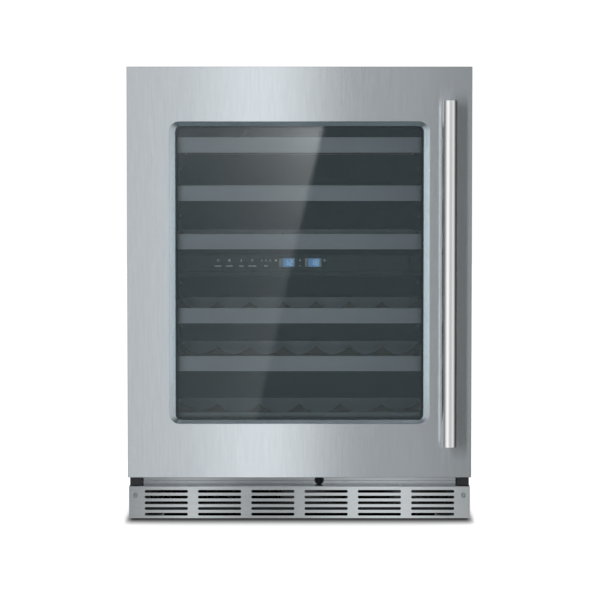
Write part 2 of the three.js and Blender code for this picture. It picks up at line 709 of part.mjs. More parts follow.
function buildShelves() {
  const deepEnd = SHELF.front + DEEP_SHELF.depth - 10;
  const shortEnd = SHELF.front + SHORT_SHELF.depth - 5;
  const upperPlates = [[[75, 512], [476, 712]]];
  const lowerPlates = [[[75, 412], [152, 424]], [[400, 512], [255, 424]]];
  const upperLedges = UPPER_TOPS.map((top) => [top, deepEnd]);
  const lowerLedges = [...LOWER_TOPS.map((top) => [top, deepEnd]), [BOTTOM_TOP, shortEnd]];
  for (const [name, side] of [['left', -1], ['right', 1]]) {
    place(`upper_rails_${name}`, railBracket(side, upperPlates, upperLedges), 'greyLiner');
    place(`lower_rails_${name}`, railBracket(side, lowerPlates, lowerLedges), 'greyLiner');
  }
  [...UPPER_TOPS, ...LOWER_TOPS].forEach((top, i) => buildShelf(i + 1, top, DEEP_SHELF));
  buildShelf(6, BOTTOM_TOP, SHORT_SHELF);
}

// ---- Legs ---------------------------------------------------------------------------

function levellingLeg(x, y) {
  const { footRadius, threadRadius } = LEG;
  return turned(x, y, [
    [0, 0], [footRadius - 1.5, 0], [footRadius, 1.5], [footRadius, 5], [11, 7.5],
    [11, PAN.low - GAP], [threadRadius, PAN.low - GAP], [threadRadius, 40], [0, 40],
  ], 16);
}

function buildLegs() {
  for (const [endName, y] of [['front', LEG.frontY], ['rear', LEG.rearY]]) {
    for (const [sideName, x] of [['left', -LEG.x], ['right', LEG.x]]) {
      place(`leg_${endName}_${sideName}`, levellingLeg(x, y), 'blackPlastic');
    }
  }
}

buildCabinet();
buildCooling();
buildDoor();
buildShelves();
buildLegs();

const handleFront = HANDLE.y - HANDLE.radius;
cooler.position.y = -(handleFront + DEPTH) / 2;

export default cooler;
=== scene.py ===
"""Looks of an undercounter wine cooler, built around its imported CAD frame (metres, +Z up).

The CAD nodes give every place and size. Pieces whose edges, curves or small detail matter are
built again here in mesh code and stand for their CAD nodes; the others keep the CAD shape with
softened edges. The front faces -Y.
"""

import math

import bmesh
import bpy
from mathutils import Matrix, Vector


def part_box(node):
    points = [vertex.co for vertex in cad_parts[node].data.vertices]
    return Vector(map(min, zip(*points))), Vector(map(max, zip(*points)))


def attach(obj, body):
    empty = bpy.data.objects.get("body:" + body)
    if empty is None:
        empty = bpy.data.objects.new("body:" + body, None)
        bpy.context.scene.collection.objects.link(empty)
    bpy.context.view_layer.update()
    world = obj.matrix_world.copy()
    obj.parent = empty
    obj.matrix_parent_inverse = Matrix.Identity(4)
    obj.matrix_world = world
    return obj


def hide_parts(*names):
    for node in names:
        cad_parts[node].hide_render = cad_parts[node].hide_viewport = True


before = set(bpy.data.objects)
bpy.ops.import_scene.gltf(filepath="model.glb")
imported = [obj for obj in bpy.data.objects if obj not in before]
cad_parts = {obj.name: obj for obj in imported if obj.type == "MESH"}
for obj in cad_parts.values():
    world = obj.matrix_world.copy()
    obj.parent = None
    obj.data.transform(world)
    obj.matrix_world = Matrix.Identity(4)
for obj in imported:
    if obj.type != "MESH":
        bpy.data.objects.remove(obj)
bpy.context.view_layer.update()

MM = 0.001

# ---- Places read from the frame

DOOR_LOW, DOOR_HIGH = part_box("door_skin")
FRONT = DOOR_LOW.y  # the door's front face
KICK_LOW, KICK_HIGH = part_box("toe_grille")
RAIL_LOW, RAIL_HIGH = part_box("front_rail")
LOCK_LOW, LOCK_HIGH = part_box("lock_barrel")
BAR_LOW, BAR_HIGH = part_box("handle_bar")
FASCIA_LOW, FASCIA_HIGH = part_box("control_fascia")
DIVIDER_LOW, DIVIDER_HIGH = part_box("zone_divider")
GASKET_LOW, GASKET_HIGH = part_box("door_gasket")
PANE_LOW, PANE_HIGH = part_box("outer_glass")
BACK_LOW, BACK_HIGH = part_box("back_panel")
VENT_LOW, VENT_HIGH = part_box("rear_vent_cover")
HINGE_LOW, HINGE_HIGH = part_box("top_hinge_plate")
SHELVES = range(1, 7)

# ---- Driving sizes of what is made here

WINDOW = {"half": 228 * MM, "low": 173 * MM, "high": 704 * MM, "radius": 17.5 * MM}
WELL_FOOT = {"half": 218.5 * MM, "low": 179 * MM, "high": 696.5 * MM, "radius": 10 * MM}
WELL_DEPTH = 11 * MM
DOOR_SHEET = 1.2 * MM
DOOR_BEND = 0.8 * MM
HINGE_PIN = {"x": -287 * MM, "y": FRONT + 28 * MM, "hole": 4.5 * MM}
KICK_SHEET = 1.5 * MM
KICK_BEND = 2.2 * MM
SLOT = {"columns": 6, "rows": 5, "pitch": 94.3 * MM, "drop": 10.15 * MM, "length": 76.6 * MM,
        "height": 5.1 * MM, "top": 51.2 * MM}
PRINT_WIDTH = 3.5 * MM  # black border that shows inside the window
HINGE_SLOT = {"width": 34 * MM, "front": FRONT + 9 * MM, "back": FRONT + 53 * MM,
              "low": HINGE_HIGH.z - 7.3 * MM, "high": HINGE_HIGH.z + 3.3 * MM}
HEAD_STANDS = 1.1 * MM  # from the back's flat sheet to the outside of its screw heads
VENT_SLOT = {"columns": 3, "rows": 8, "middle": 40 * MM, "pitch": 134 * MM, "lowest": 60 * MM,
             "rise": 20 * MM, "length": 120 * MM, "height": 8 * MM}
CORNER_STEPS = 8
WELD = 0.001 * MM  # points closer than this are one


# ---- Meshes

# Where a point (a, b) of a drawing and a distance t along an axis lie in space.
PLACED = {
    "x": lambda a, b, t: (t, a, b),
    "y": lambda a, b, t: (a, t, b),
    "z": lambda a, b, t: (a, b, t),
}


def mesh_of(vertices, faces):
    """A mesh with no doubled points and with its faces turned outwards."""
    mesh = bpy.data.meshes.new("mesh")
    mesh.from_pydata(vertices, [], faces)
    work = bmesh.new()
    work.from_mesh(mesh)
    bmesh.ops.remove_doubles(work, verts=work.verts, dist=WELD)
    bmesh.ops.recalc_face_normals(work, faces=work.faces)
    work.to_mesh(mesh)
    work.free()
    return mesh


def settled(work, name):
    mesh = bpy.data.meshes.new(name)
    work.to_mesh(mesh)
    work.free()
    return mesh


def merged(meshes):
    work = bmesh.new()
    for mesh in meshes:
        work.from_mesh(mesh)
        bpy.data.meshes.remove(mesh)
    return settled(work, "merged")


def extruded(outline, start, end, axis):
    """A closed outline drawn along an axis: along x it is (y, z), along y (x, z), along z (x, y)."""
    count = len(outline)
    vertices = [PLACED[axis](a, b, t) for t in (start, end) for a, b in outline]
    faces = [tuple(range(count)), tuple(range(count, 2 * count))]
    faces += [(i, (i + 1) % count, count + (i + 1) % count, count + i) for i in range(count)]
    return mesh_of(vertices, faces)


def turned(profile, centre, axis="y", segments=32):
    """A profile of (radius, distance along the axis) pairs, turned about an axis through a point."""
    vertices = []
    for radius, t in profile:
        for i in range(segments):
            angle = 2 * math.pi * (i + 0.5) / segments
            point = Vector(PLACED[axis](radius * math.cos(angle), radius * math.sin(angle), t))
            vertices.append(point + Vector(centre))
    faces = []
    for ring in range(len(profile) - 1):
        for i in range(segments):
            j = (i + 1) % segments
            a, b = ring * segments, (ring + 1) * segments
            faces.append((a + i, a + j, b + j, b + i))
    return mesh_of(vertices, faces)


def rod(radius, start, end, centre, axis="y", segments=32):
    """A plain cylinder from start to end along an axis."""
    return turned([(0, start), (radius, start), (radius, end), (0, end)], centre, axis, segments)


def middle_of(low, high, axis="y"):
    """The middle of a box, moved to zero along one axis."""
    return tuple(0 if name == axis else (low[i] + high[i]) / 2 for i, name in enumerate("xyz"))


def cube_between(low, high):
    work = bmesh.new()
    bmesh.ops.create_cube(work, size=1)
    for vertex in work.verts:
        vertex.co = Vector(high[i] if vertex.co[i] > 0 else low[i] for i in range(3))
    return work


def round_off(work, edges, radius, segments):
    bmesh.ops.bevel(work, geom=edges, offset=radius, segments=segments, affect="EDGES", profile=0.5)


def block(low, high, radius=0.0, segments=2):
    """A box between two corners with rounded edges."""
    work = cube_between(low, high)
    if radius:
        round_off(work, work.edges[:], radius, segments)
    return settled(work, "block")


def stadium(x, z, length, height):
    """A slot's outline: two straight sides with round ends."""
    radius = height / 2
    reach = length / 2 - radius
    points = []
    for side, start in ((1, -90), (-1, 90)):
        for i in range(CORNER_STEPS + 1):
            angle = math.radians(start + 180 * i / CORNER_STEPS)
            points.append((x + side * reach + radius * math.cos(angle), z + radius * math.sin(angle)))
    return points


def rounded_loop(half, low, high, radius, y, steps=CORNER_STEPS):
    """Points round a rectangle with rounded corners, in the plane at depth y."""
    points = []
    for x, z, start in ((half, low, -90), (half, high, 0), (-half, high, 90), (-half, low, 180)):
        centre_x = x - math.copysign(radius, x)
        centre_z = z + radius if z == low else z - radius
        for i in range(steps + 1):
            angle = math.radians(start + 90 * i / steps)
            points.append((centre_x + radius * math.cos(angle), y, centre_z + radius * math.sin(angle)))
    return points


def loft(loops, closed=False):
    """A skin through loops with equal counts of points; closed joins the last loop to the first."""
    count = len(loops[0])
    vertices = [point for loop in loops for point in loop]
    faces = []
    for ring in range(len(loops) if closed else len(loops) - 1):
        a, b = ring * count, (ring + 1) % len(loops) * count
        for i in range(count):
            j = (i + 1) % count
            faces.append((a + i, a + j, b + j, b + i))
    return mesh_of(vertices, faces)


# ---- Pieces

def placed(name, data):
    """Puts a mesh, a camera or a lamp into the scene."""
    made = bpy.data.objects.new(name, data)
    bpy.context.collection.objects.link(made)
    return made


def piece(name, mesh, finish, body, slot, *stands_for):
    made = placed(name, mesh)
    mesh.name = name
    mesh.materials.clear()
    mesh.materials.append(finish)
    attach(made, body)
    if stands_for:
        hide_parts(*stands_for)
    return made


def smooth(made, degrees=35):
    """Smooth shading whose normals stay true on the large flat faces."""
    for face in made.data.polygons:
        face.use_smooth = True
    made.data.set_sharp_from_angle(angle=math.radians(degrees))
    made.modifiers.new("normals", "WEIGHTED_NORMAL").keep_sharp = True


def soften(made, width, segments=2):
    """Rounds an object's sharp edges a little, as pressed or moulded edges are."""
    bevel = made.modifiers.new("edges", "BEVEL")
    bevel.width = width
    bevel.segments = segments
    bevel.limit_method = "ANGLE"
    bevel.angle_limit = math.radians(40)


def thicken(made, thickness):
    sheet = made.modifiers.new("sheet", "SOLIDIFY")
    sheet.thickness = thickness
    sheet.offset = -1
    sheet.use_even_offset = True


def apply_modifiers(made):
    settled = bpy.data.meshes.new_from_object(made.evaluated_get(bpy.context.evaluated_depsgraph_get()))
    earlier = made.data
    made.modifiers.clear()
    made.data = settled
    bpy.data.meshes.remove(earlier)


def cut(made, cutters):
    """Cuts closed meshes out of an object for good."""
    tool = placed("tool", merged(cutters))
    away = made.modifiers.new("cut", "BOOLEAN")
    away.object = tool
    away.operation = "DIFFERENCE"
    away.solver = "EXACT"
    away.use_self = True
    apply_modifiers(made)
    bpy.data.objects.remove(tool)


# ---- Node trees

def feed(tree, socket, value):
    """Gives a socket its value, or links it to the socket that drives it."""
    if isinstance(value, bpy.types.NodeSocket):
        tree.links.new(value, socket)
    else:
        socket.default_value = value


def node(tree, kind, **settings):
    """Adds a shader node; a setting named in_NAME feeds that input."""
    made = tree.nodes.new(f"ShaderNode{kind}")
    for key, value in settings.items():
        if key.startswith("in_"):
            feed(tree, made.inputs[key[3:].replace("_", " ")], value)
        else:
            setattr(made, key, value)
    return made


def bare_material(name):
    made = bpy.data.materials.new(name)
    made.use_nodes = True
    made.node_tree.nodes.clear()
    return made, made.node_tree


def ramp(tree, source, stops):
    """Levels or colours along a 0 to 1 source; a stop's value is a number or three channels."""
    made = node(tree, "ValToRGB")
    elements = made.color_ramp.elements
    while len(elements) < len(stops):
        elements.new(0.5)
    for element, (place, value) in zip(elements, stops):
        element.position = place
        element.color = (value, value, value, 1) if isinstance(value, (int, float)) else (*value, 1)
    feed(tree, made.inputs[0], source)
    return made.outputs["Color"]


def span(tree, source, low, high):
    """Brings a value that runs from low to high onto 0 to 1."""
    return node(tree, "MapRange", in_Value=source, in_From_Min=low, in_From_Max=high).outputs["Result"]


def maths(tree, operation, *values, kind="Math"):
    made = node(tree, kind, operation=operation)
    for socket, value in zip(made.inputs, values):
        feed(tree, socket, value)
    return made.outputs[0]


def place_of(tree, stretch=(1, 1, 1)):
    place = node(tree, "TexCoord").outputs["Object"]
    return node(tree, "Mapping", in_Vector=place, in_Scale=stretch).outputs[0]


def noise(tree, scale, stretch=(1, 1, 1), detail=3.0):
    place = place_of(tree, stretch)
    return node(tree, "TexNoise", in_Vector=place, in_Scale=scale, in_Detail=detail).outputs["Fac"]


def separated(tree, vector):
    """The X, Y and Z of a vector, by name."""
    return node(tree, "SeparateXYZ", in_Vector=vector).outputs


def show(tree, *shaders):
    """Makes the material's surface from one shader, or from two added together."""
    shown = shaders[0]
    if len(shaders) > 1:
        shown = node(tree, "AddShader")
        for socket, shader in zip(shown.inputs, shaders):
            feed(tree, socket, shader.outputs[0])
    node(tree, "OutputMaterial", in_Surface=shown.outputs[0])


# ---- Camera, light and floor

EYE = Vector((0.9 * MM, FRONT - 4.78, 0.605))
AIM = Vector((0.9 * MM, FRONT, 0.3911))
LENS = 163.4
SENSOR = 36.0
CLIP_END = 100.0
WORLD_BRIGHTNESS = 1.05


def aim(made, place, target):
    made.location = place
    made.rotation_euler = (target - place).to_track_quat("-Z", "Y").to_euler()


def make_camera():
    data = bpy.data.cameras.new("camera")
    data.lens = LENS
    data.sensor_width = SENSOR
    data.clip_end = CLIP_END
    camera = placed("camera", data)
    aim(camera, EYE, AIM)
    bpy.context.scene.camera = camera


def make_world():
    world = bpy.data.worlds.new("studio")
    world.use_nodes = True
    bpy.context.scene.world = world
    background = world.node_tree.nodes["Background"]
    background.inputs["Color"].default_value = (1, 1, 1, 1)
    background.inputs["Strength"].default_value = WORLD_BRIGHTNESS
    world.cycles_visibility.glossy = False


def stage_quad(name, corners, material):
    made = placed(name, mesh_of(corners, [(0, 1, 2, 3)]))
    made.data.materials.append(material)
    return made


FLOOR_PALE = 0.7
FLOOR_REACH = 14.0
# Share of the floor's paleness outside the soft shadow, by metres behind the door's face, behind
# the back, and from the middle. It fades over a hand's width ahead and a few millimetres beside.
FLOOR_ALONG = [
    (-0.2, 1.0), (-0.095, 0.935), (-0.081, 0.90), (-0.067, 0.86), (-0.053, 0.784), (-0.039, 0.676),
    (-0.026, 0.534), (-0.012, 0.386), (0.001, 0.245), (0.015, 0.13), (0.029, 0.06), (0.06, 0.0),
]
FLOOR_BEHIND = [(-0.02, 0.0), (0.01, 0.6), (0.08, 1.0)]
FLOOR_ACROSS = [
    (0.296, 0.0), (0.303, 0.20), (0.3059, 0.386), (0.3076, 0.534), (0.3094, 0.676), (0.3112, 0.784),
    (0.3129, 0.86), (0.3147, 0.90), (0.3165, 0.935), (0.335, 1.0),
]


def make_floor():
    """A pale floor that glows a little, with a soft shadow round the cabinet's foot."""
    material, tree = bare_material("floor")
    place = separated(tree, node(tree, "NewGeometry").outputs["Position"])
    ahead = card_ramp(tree, maths(tree, "SUBTRACT", place["Y"], FRONT), FLOOR_ALONG)
    behind = card_ramp(tree, maths(tree, "SUBTRACT", place["Y"], BACK_HIGH.y), FLOOR_BEHIND)
    beside = card_ramp(tree, maths(tree, "ABSOLUTE", place["X"]), FLOOR_ACROSS)
    shadow = maths(tree, "SUBTRACT", 1.0, beside)
    for edge in (ahead, behind):
        shadow = maths(tree, "MULTIPLY", shadow, maths(tree, "SUBTRACT", 1.0, edge))
    pale = maths(tree, "MULTIPLY", maths(tree, "SUBTRACT", 1.0, shadow), FLOOR_PALE)
    show(tree, node(tree, "BsdfDiffuse", in_Color=pale), node(tree, "Emission", in_Color=pale))
    reach = FLOOR_REACH
    corners = [(-reach, -reach, 0), (reach, -reach, 0), (reach, reach, 0), (-reach, reach, 0)]
    floor = stage_quad("floor", corners, material)
    floor.visible_glossy = False


# Reflection cards stand before, behind and beside the cabinet, and light only what they are
# linked to. Their stops are (metres to the right, brightness).
CARD_GAP = 1.5
CARD_SPACING = 0.02
CARD_REACH = 30.0
BACK_CARD_AT = BACK_HIGH.y + 2.5
SIDE_CARDS = [("side_card_left", -2.0, 0.35), ("side_card_right", 2.0, 0.45)]
COOL = (0.93, 1.0, 1.05)
BACK_CARD = [(-6.0, 0.45), (-2.5, 0.85), (0.5, 0.6), (3.0, 0.9), (6.0, 0.45)]
SATIN_CARD = [
    (-1.6, 0.12), (-1.0, 0.50), (-0.3, 0.48), (-0.1, 0.42), (0.02, 0.50), (0.07, 0.57), (0.13, 0.56),
    (0.18, 0.44), (0.24, 0.28), (0.35, 0.22), (1.6, 0.12),
]
DOOR_CARD = [
    (-1.3, 0.05), (-0.7, 0.30), (-0.38, 0.37), (-0.32, 0.42), (-0.27, 0.40), (-0.23, 0.53), (-0.18, 0.625),
    (-0.14, 0.69), (-0.10, 0.77), (-0.07, 0.74), (-0.03, 0.68), (0.0, 0.58), (0.035, 0.46), (0.07, 0.31),
    (0.12, 0.20), (0.19, 0.165), (0.28, 0.18), (0.32, 0.13), (0.39, 0.085), (1.3, 0.05),
]
KICK_CARD = [
    (-1.0, 0.25), (-0.42, 0.33), (-0.36, 0.37), (-0.30, 0.58), (-0.25, 0.86), (-0.20, 0.58), (-0.11, 0.33),
    (0.0, 0.40), (0.06, 0.56), (0.12, 0.74), (0.25, 0.80), (0.31, 0.56), (0.37, 0.42), (1.0, 0.25),
]
CHROME_CARD = [
    (-6.0, 0.20), (-2.8, 0.40), (-1.35, 0.81), (-0.62, 1.08), (-0.14, 1.0), (0.26, 0.66), (0.66, 0.52),
    (1.14, 0.60), (1.81, 0.82), (3.2, 0.70), (6.0, 0.35),
]
# The glass card's glow ends at a slanted edge, here by two points (metres to the right, height).
# It goes by the distance from that edge and by the height, over an even base.
GLASS_EDGE_TOP = (0.054, 0.725)
GLASS_EDGE_LOW = (-0.101, 0.047)
GLASS_GLOW_ACROSS = [
    (-1.0, 0.12), (-0.26, 0.17), (-0.185, 0.30), (-0.10, 0.52), (-0.004, 0.95), (0.004, 0.0), (1.0, 0.0),
]
GLASS_GLOW_UP = [(0.0, 0.30), (0.36, 0.31), (0.50, 0.55), (0.58, 0.85), (0.64, 1.12), (0.70, 1.9), (1.0, 2.4)]
GLASS_BASE = (0.30, 0.38, 0.41)
GLASS_BASE_ACROSS = [
    (-9.0, 2.0), (-7.0, 0.2), (-2.0, 0.2), (-1.0, 1.0), (1.0, 1.0), (2.0, 0.2), (7.0, 0.2), (9.0, 2.0),
]


def card_ramp(tree, value, stops):
    """Levels or colours at places in metres; they stay the same beyond the first and last stop."""
    low, high = stops[0][0], stops[-1][0]
    shares = [((place - low) / (high - low), level) for place, level in stops]
    return ramp(tree, span(tree, value, low, high), shares)


def make_card(name, y, colour_of, solid, receivers, linking="INCLUDE"):
    """An upright card across the front or back; one that isn't solid lets all light through."""
    material, tree = bare_material(name)
    place = separated(tree, node(tree, "TexCoord").outputs["Object"])
    glow = node(tree, "Emission", in_Color=colour_of(tree, place["X"], place["Z"]))
    if solid:
        show(tree, glow)
    else:
        show(tree, glow, node(tree, "BsdfTransparent"))
    reach = CARD_REACH
    corners = [(-reach, y, -reach), (-reach, y, reach), (reach, y, reach), (reach, y, -reach)]
    stand_card(name, corners, material, receivers, linking)


def stand_card(name, corners, material, receivers, linking):
    """Stands a card that only glossy rays see, and links it to the pieces that it lights."""
    material.cycles.emission_sampling = "NONE"
    card = stage_quad(name, corners, material)
    card.visible_camera = False
    card.visible_diffuse = False
    card.visible_shadow = False
    card.visible_transmission = False
    link_light(card, receivers, linking)


def link_light(source, receivers, linking="INCLUDE"):
    group = bpy.data.collections.new(f"{source.name}_receivers")
    for made in receivers:
        group.objects.link(made)
    source.light_linking.receiver_collection = group
    for entry in group.collection_objects:
        entry.light_linking.link_state = linking


def by_width(stops, tint=(1.0, 1.0, 1.0)):
    """A card's colour by its place from left to right."""
    def colour_of(tree, x, z):
        return card_ramp(tree, x, [(place, shade(tint, level)) for place, level in stops])
    return colour_of


def slanted(tree, x, z):
    """The glass card: an even part, and a glow that ends at a slanted edge and grows upwards."""
    slant = (GLASS_EDGE_TOP[0] - GLASS_EDGE_LOW[0]) / (GLASS_EDGE_TOP[1] - GLASS_EDGE_LOW[1])
    foot = GLASS_EDGE_LOW[0] - slant * GLASS_EDGE_LOW[1]
    from_edge = maths(tree, "SUBTRACT", x, maths(tree, "MULTIPLY_ADD", z, slant, foot))
    across = card_ramp(tree, from_edge, GLASS_GLOW_ACROSS)
    glow = maths(tree, "MULTIPLY", across, card_ramp(tree, z, GLASS_GLOW_UP))
    base = card_ramp(tree, x, GLASS_BASE_ACROSS)
    return maths(tree, "MULTIPLY_ADD", GLASS_BASE, base, glow, kind="VectorMath")


def make_cards(door, kick, chrome, glass):
    others = door + kick + chrome + glass
    nearest = FRONT - CARD_GAP
    make_card("satin_card", nearest, by_width(SATIN_CARD, COOL), False, others, "EXCLUDE")
    make_card("glass_card", nearest - CARD_SPACING, slanted, False, glass)
    make_card("chrome_card", nearest - 2 * CARD_SPACING, by_width(CHROME_CARD), False, chrome)
    make_card("kick_card", nearest - 3 * CARD_SPACING, by_width(KICK_CARD), False, kick)
    make_card("door_card", nearest - 4 * CARD_SPACING, by_width(DOOR_CARD), True, door)
    make_card("back_card", BACK_CARD_AT, by_width(BACK_CARD, COOL), False, others, "EXCLUDE")
    make_side_cards(chrome + glass)


def make_side_cards(polished):
    """Upright cards at both sides, which give the door's folds and the sides a reflection."""
    near, far = FRONT - CARD_GAP, BACK_CARD_AT
    for name, x, level in SIDE_CARDS:
        material, tree = bare_material("side_card")
        glow = node(tree, "Emission", in_Color=(level, level, level, 1))
        show(tree, glow, node(tree, "BsdfTransparent"))
        corners = [(x, near, -CARD_REACH), (x, far, -CARD_REACH), (x, far, CARD_REACH), (x, near, CARD_REACH)]
        stand_card(name, corners, material, polished, "EXCLUDE")


LAMP_WIDTH = 0.25
LAMP_HEIGHT = 2.4
LAMP_POWER = 230
LAMP_LEVEL = 0.45
LAMP_FROM_HANDLE = Vector((-1.17, -2.76, 0.0))


def make_side_lamp(door):
    """A slim upright lamp to the left, which throws the handle's shadow across the door."""
    data = bpy.data.lights.new("side_lamp", "AREA")
    data.shape = "RECTANGLE"
    data.size = LAMP_WIDTH
    data.size_y = LAMP_HEIGHT
    data.energy = LAMP_POWER
    lamp = placed("side_lamp", data)
    target = Vector((BAR_HIGH.x, FRONT, LAMP_LEVEL))
    aim(lamp, target + LAMP_FROM_HANDLE, target)
    lamp.visible_camera = False
    lamp.visible_glossy = False
    link_light(lamp, door)


# ---- Materials

def material(name, color, roughness, metallic=0.0, **shader_inputs):
    made = bpy.data.materials.new(name)
    made.use_nodes = True
    shader = shader_of(made)
    shader.inputs["Base Color"].default_value = (*color, 1)
    shader.inputs["Roughness"].default_value = roughness
    shader.inputs["Metallic"].default_value = metallic
    for key, value in shader_inputs.items():
        shader.inputs[key.replace("_", " ")].default_value = value
    return made


def shader_of(made):
    return made.node_tree.nodes["Principled BSDF"]


def shade(color, amount):
    return tuple(channel * amount for channel in color)


def vary(made, socket, source, low, high, narrow=0.3):
    """Drives a socket of the material's shader between two values by a 0 to 1 source."""
    tree = made.node_tree
    feed(tree, shader_of(made).inputs[socket], ramp(tree, source, [(narrow, low), (1 - narrow, high)]))


def bump(made, source, distance):
    tree = made.node_tree
    relief = node(tree, "Bump", in_Height=source, in_Distance=distance)
    feed(tree, shader_of(made).inputs["Normal"], relief.outputs[0])


# Stretches that draw a grain out along an axis.
ALONG_Z = (1, 1, 0.06)
ALONG_X = (0.05, 1, 1)
GLASS_INDEX = 1.5


def brushed(name, color, roughness, grain, contrast=0.03, anisotropy=0.9, metallic=1.0, uneven=0.25):
    """Brushed stainless steel with fine and broad streaks along its grain."""
    made = material(name, color, roughness, metallic, Anisotropic=anisotropy, Anisotropic_Rotation=0.25)
    tree = made.node_tree
    tangent = node(tree, "Tangent", direction_type="RADIAL", axis="Z")
    feed(tree, shader_of(made).inputs["Tangent"], tangent.outputs[0])
    fine = noise(tree, 1300, grain, 4)
    broad = noise(tree, 330, grain, 2)
    streaks = maths(tree, "MULTIPLY_ADD", broad, 0.6, maths(tree, "MULTIPLY", fine, 0.4))
    vary(made, "Roughness", fine, (1 - uneven) * roughness, (1 + uneven) * roughness)
    vary(made, "Base Color", streaks, shade(color, 1 - contrast), shade(color, 1 + contrast), 0.38)
    bump(made, fine, 0.001 * MM)
    return made


def fold_shade_by_facing(made):
    """Painted shade by facing: folds that face up or down are fully metallic and darker, and the window's
    left bevel is the least metallic and lightest.
    """
    tree = made.node_tree
    normal = separated(tree, node(tree, "TexCoord").outputs["Normal"])
    level = ramp(tree, maths(tree, "ABSOLUTE", normal["Z"]), [(0.1, 0.0), (0.5, 0.1)])
    upright = ramp(tree, normal["X"], [(0.4, 0.9), (0.7, 0.84), (0.8, 0.84), (0.95, 0.9)])
    feed(tree, shader_of(made).inputs["Metallic"], maths(tree, "ADD", level, upright))


def grained(name, color, roughness, scale, depth, contrast=0.12):
    """Moulded or painted: a fine orange-peel grain with slightly uneven colour and gloss."""
    made = material(name, color, roughness)
    tree = made.node_tree
    vary(made, "Base Color", noise(tree, 9, detail=5), shade(color, 1 - contrast), shade(color, 1 + contrast))
    vary(made, "Roughness", noise(tree, 30, detail=4), roughness - 0.03, roughness + 0.03)
    bump(made, noise(tree, scale, detail=2), depth)
    return made


def galvanised(name):
    """Zinc-coated sheet with its crystal spangle."""
    color = (0.50, 0.52, 0.53)
    made = material(name, color, 0.42, 0.9)
    tree = made.node_tree
    warp = noise(tree, 60, detail=4)
    bent = maths(tree, "MULTIPLY_ADD", warp, (0.012, 0.012, 0.012), place_of(tree), kind="VectorMath")
    cells = node(tree, "TexVoronoi", in_Vector=bent, in_Scale=120)
    value = node(tree, "SeparateColor", in_Color=cells.outputs["Color"])
    vary(made, "Base Color", value.outputs[0], shade(color, 0.93), shade(color, 1.06), 0.1)
    vary(made, "Roughness", value.outputs[1], 0.38, 0.48, 0.1)
    return made


def wood(name):
    """Pale beech with grain along X."""
    pale, dark = (0.42, 0.27, 0.15), (0.25, 0.145, 0.075)
    made = material(name, pale, 0.5)
    tree = made.node_tree
    rings = node(tree, "TexWave", bands_direction="Z", in_Vector=place_of(tree, (0.06, 1, 1)),
                 in_Scale=70, in_Distortion=9.0, in_Detail=3.0)
    pores = noise(tree, 900, (0.04, 1, 1), 3)
    both = maths(tree, "MULTIPLY_ADD", pores, 0.45, maths(tree, "MULTIPLY", rings.outputs["Fac"], 0.55))
    vary(made, "Base Color", both, dark, pale, 0.2)
    vary(made, "Roughness", pores, 0.42, 0.62)
    bump(made, both, 0.08 * MM)
    return made


def cellular(name):
    """Expanded foam: small closed cells."""
    color = (0.74, 0.66, 0.38)
    made = material(name, color, 0.85)
    tree = made.node_tree
    cells = node(tree, "TexVoronoi", in_Vector=place_of(tree), in_Scale=450)
    vary(made, "Base Color", noise(tree, 25, detail=6), shade(color, 0.8), color)
    bump(made, cells.outputs["Distance"], 0.6 * MM)
    return made


def glowing(name, color, strength):
    made = material(name, shade(color, 0.2), 0.3, Emission_Strength=strength)
    tree = made.node_tree
    vary(made, "Emission Color", noise(tree, 900, detail=1), shade(color, 0.85), color)
    return made


def smoked(name, tint):
    """Tinted glass: light goes straight through, and both faces of a pane mirror some by Fresnel."""
    made, tree = bare_material(name)
    tone = ramp(tree, noise(tree, 3, detail=1), [(0.3, shade(tint, 0.985)), (0.7, shade(tint, 1.01))])
    clear = node(tree, "BsdfTransparent", in_Color=tone)
    mirror = node(tree, "BsdfGlossy", in_Color=(1, 1, 1, 1), in_Roughness=0.0)
    inside = node(tree, "NewGeometry").outputs["Backfacing"]
    index = maths(tree, "MULTIPLY_ADD", inside, 1 / GLASS_INDEX - GLASS_INDEX, GLASS_INDEX)
    share = node(tree, "Fresnel", in_IOR=index)
    both = node(tree, "MixShader")
    for socket, source in zip(both.inputs, (share, clear, mirror)):
        feed(tree, socket, source.outputs[0])
    show(tree, both)
    return made


STEEL = brushed("brushed_steel", (0.72, 0.775, 0.815), 0.2, ALONG_Z, 0.028, 0.95, 0.9)
# metallic set by which way a face looks: painted shade on the up and down folds, painted highlight on the
# window's side bevels
fold_shade_by_facing(STEEL)
KICK_STEEL = brushed("kick_steel", (0.73, 0.775, 0.80), 0.17, ALONG_X, 0.02, 0.6)
# darker base colour than the kick's steel: painted shade for the rail under the door's overhang; the kick's
# corner screws use it too
SHADED_RAIL_STEEL = brushed("shaded_rail_steel", (0.50, 0.535, 0.56), 0.17, ALONG_X, 0.02, 0.6)
TRIM_STEEL = brushed("trim_steel", (0.77, 0.735, 0.74), 0.3, ALONG_X, 0.01, 0.6, uneven=0.08)
POLISHED = brushed("polished_steel", (0.86, 0.87, 0.875), 0.12, ALONG_Z, 0.01, 0.0, 0.94)
BLACK_PLASTIC = grained("black_plastic", (0.018, 0.02, 0.022), 0.45, 2600, 0.00004)
BLACK_STEEL = grained("black_steel", (0.02, 0.021, 0.023), 0.4, 1500, 0.00003)
CABINET_PAINT = grained("cabinet_paint", (0.085, 0.09, 0.095), 0.42, 1100, 0.00005, contrast=0.025)
GALVANISED = galvanised("galvanised")
LINER_GREY = grained("liner_grey", (0.075, 0.082, 0.086), 0.45, 1400, 0.00005)
WOOD = wood("beech")
RUBBER = grained("rubber", (0.03, 0.031, 0.033), 0.65, 1800, 0.00006)
FOAM = cellular("foam")
ALUMINIUM = brushed("aluminium", (0.62, 0.64, 0.65), 0.38, ALONG_X, 0.05, 0.3)
DIFFUSER = grained("diffuser", (0.85, 0.86, 0.86), 0.4, 900, 0.0001, contrast=0.03)
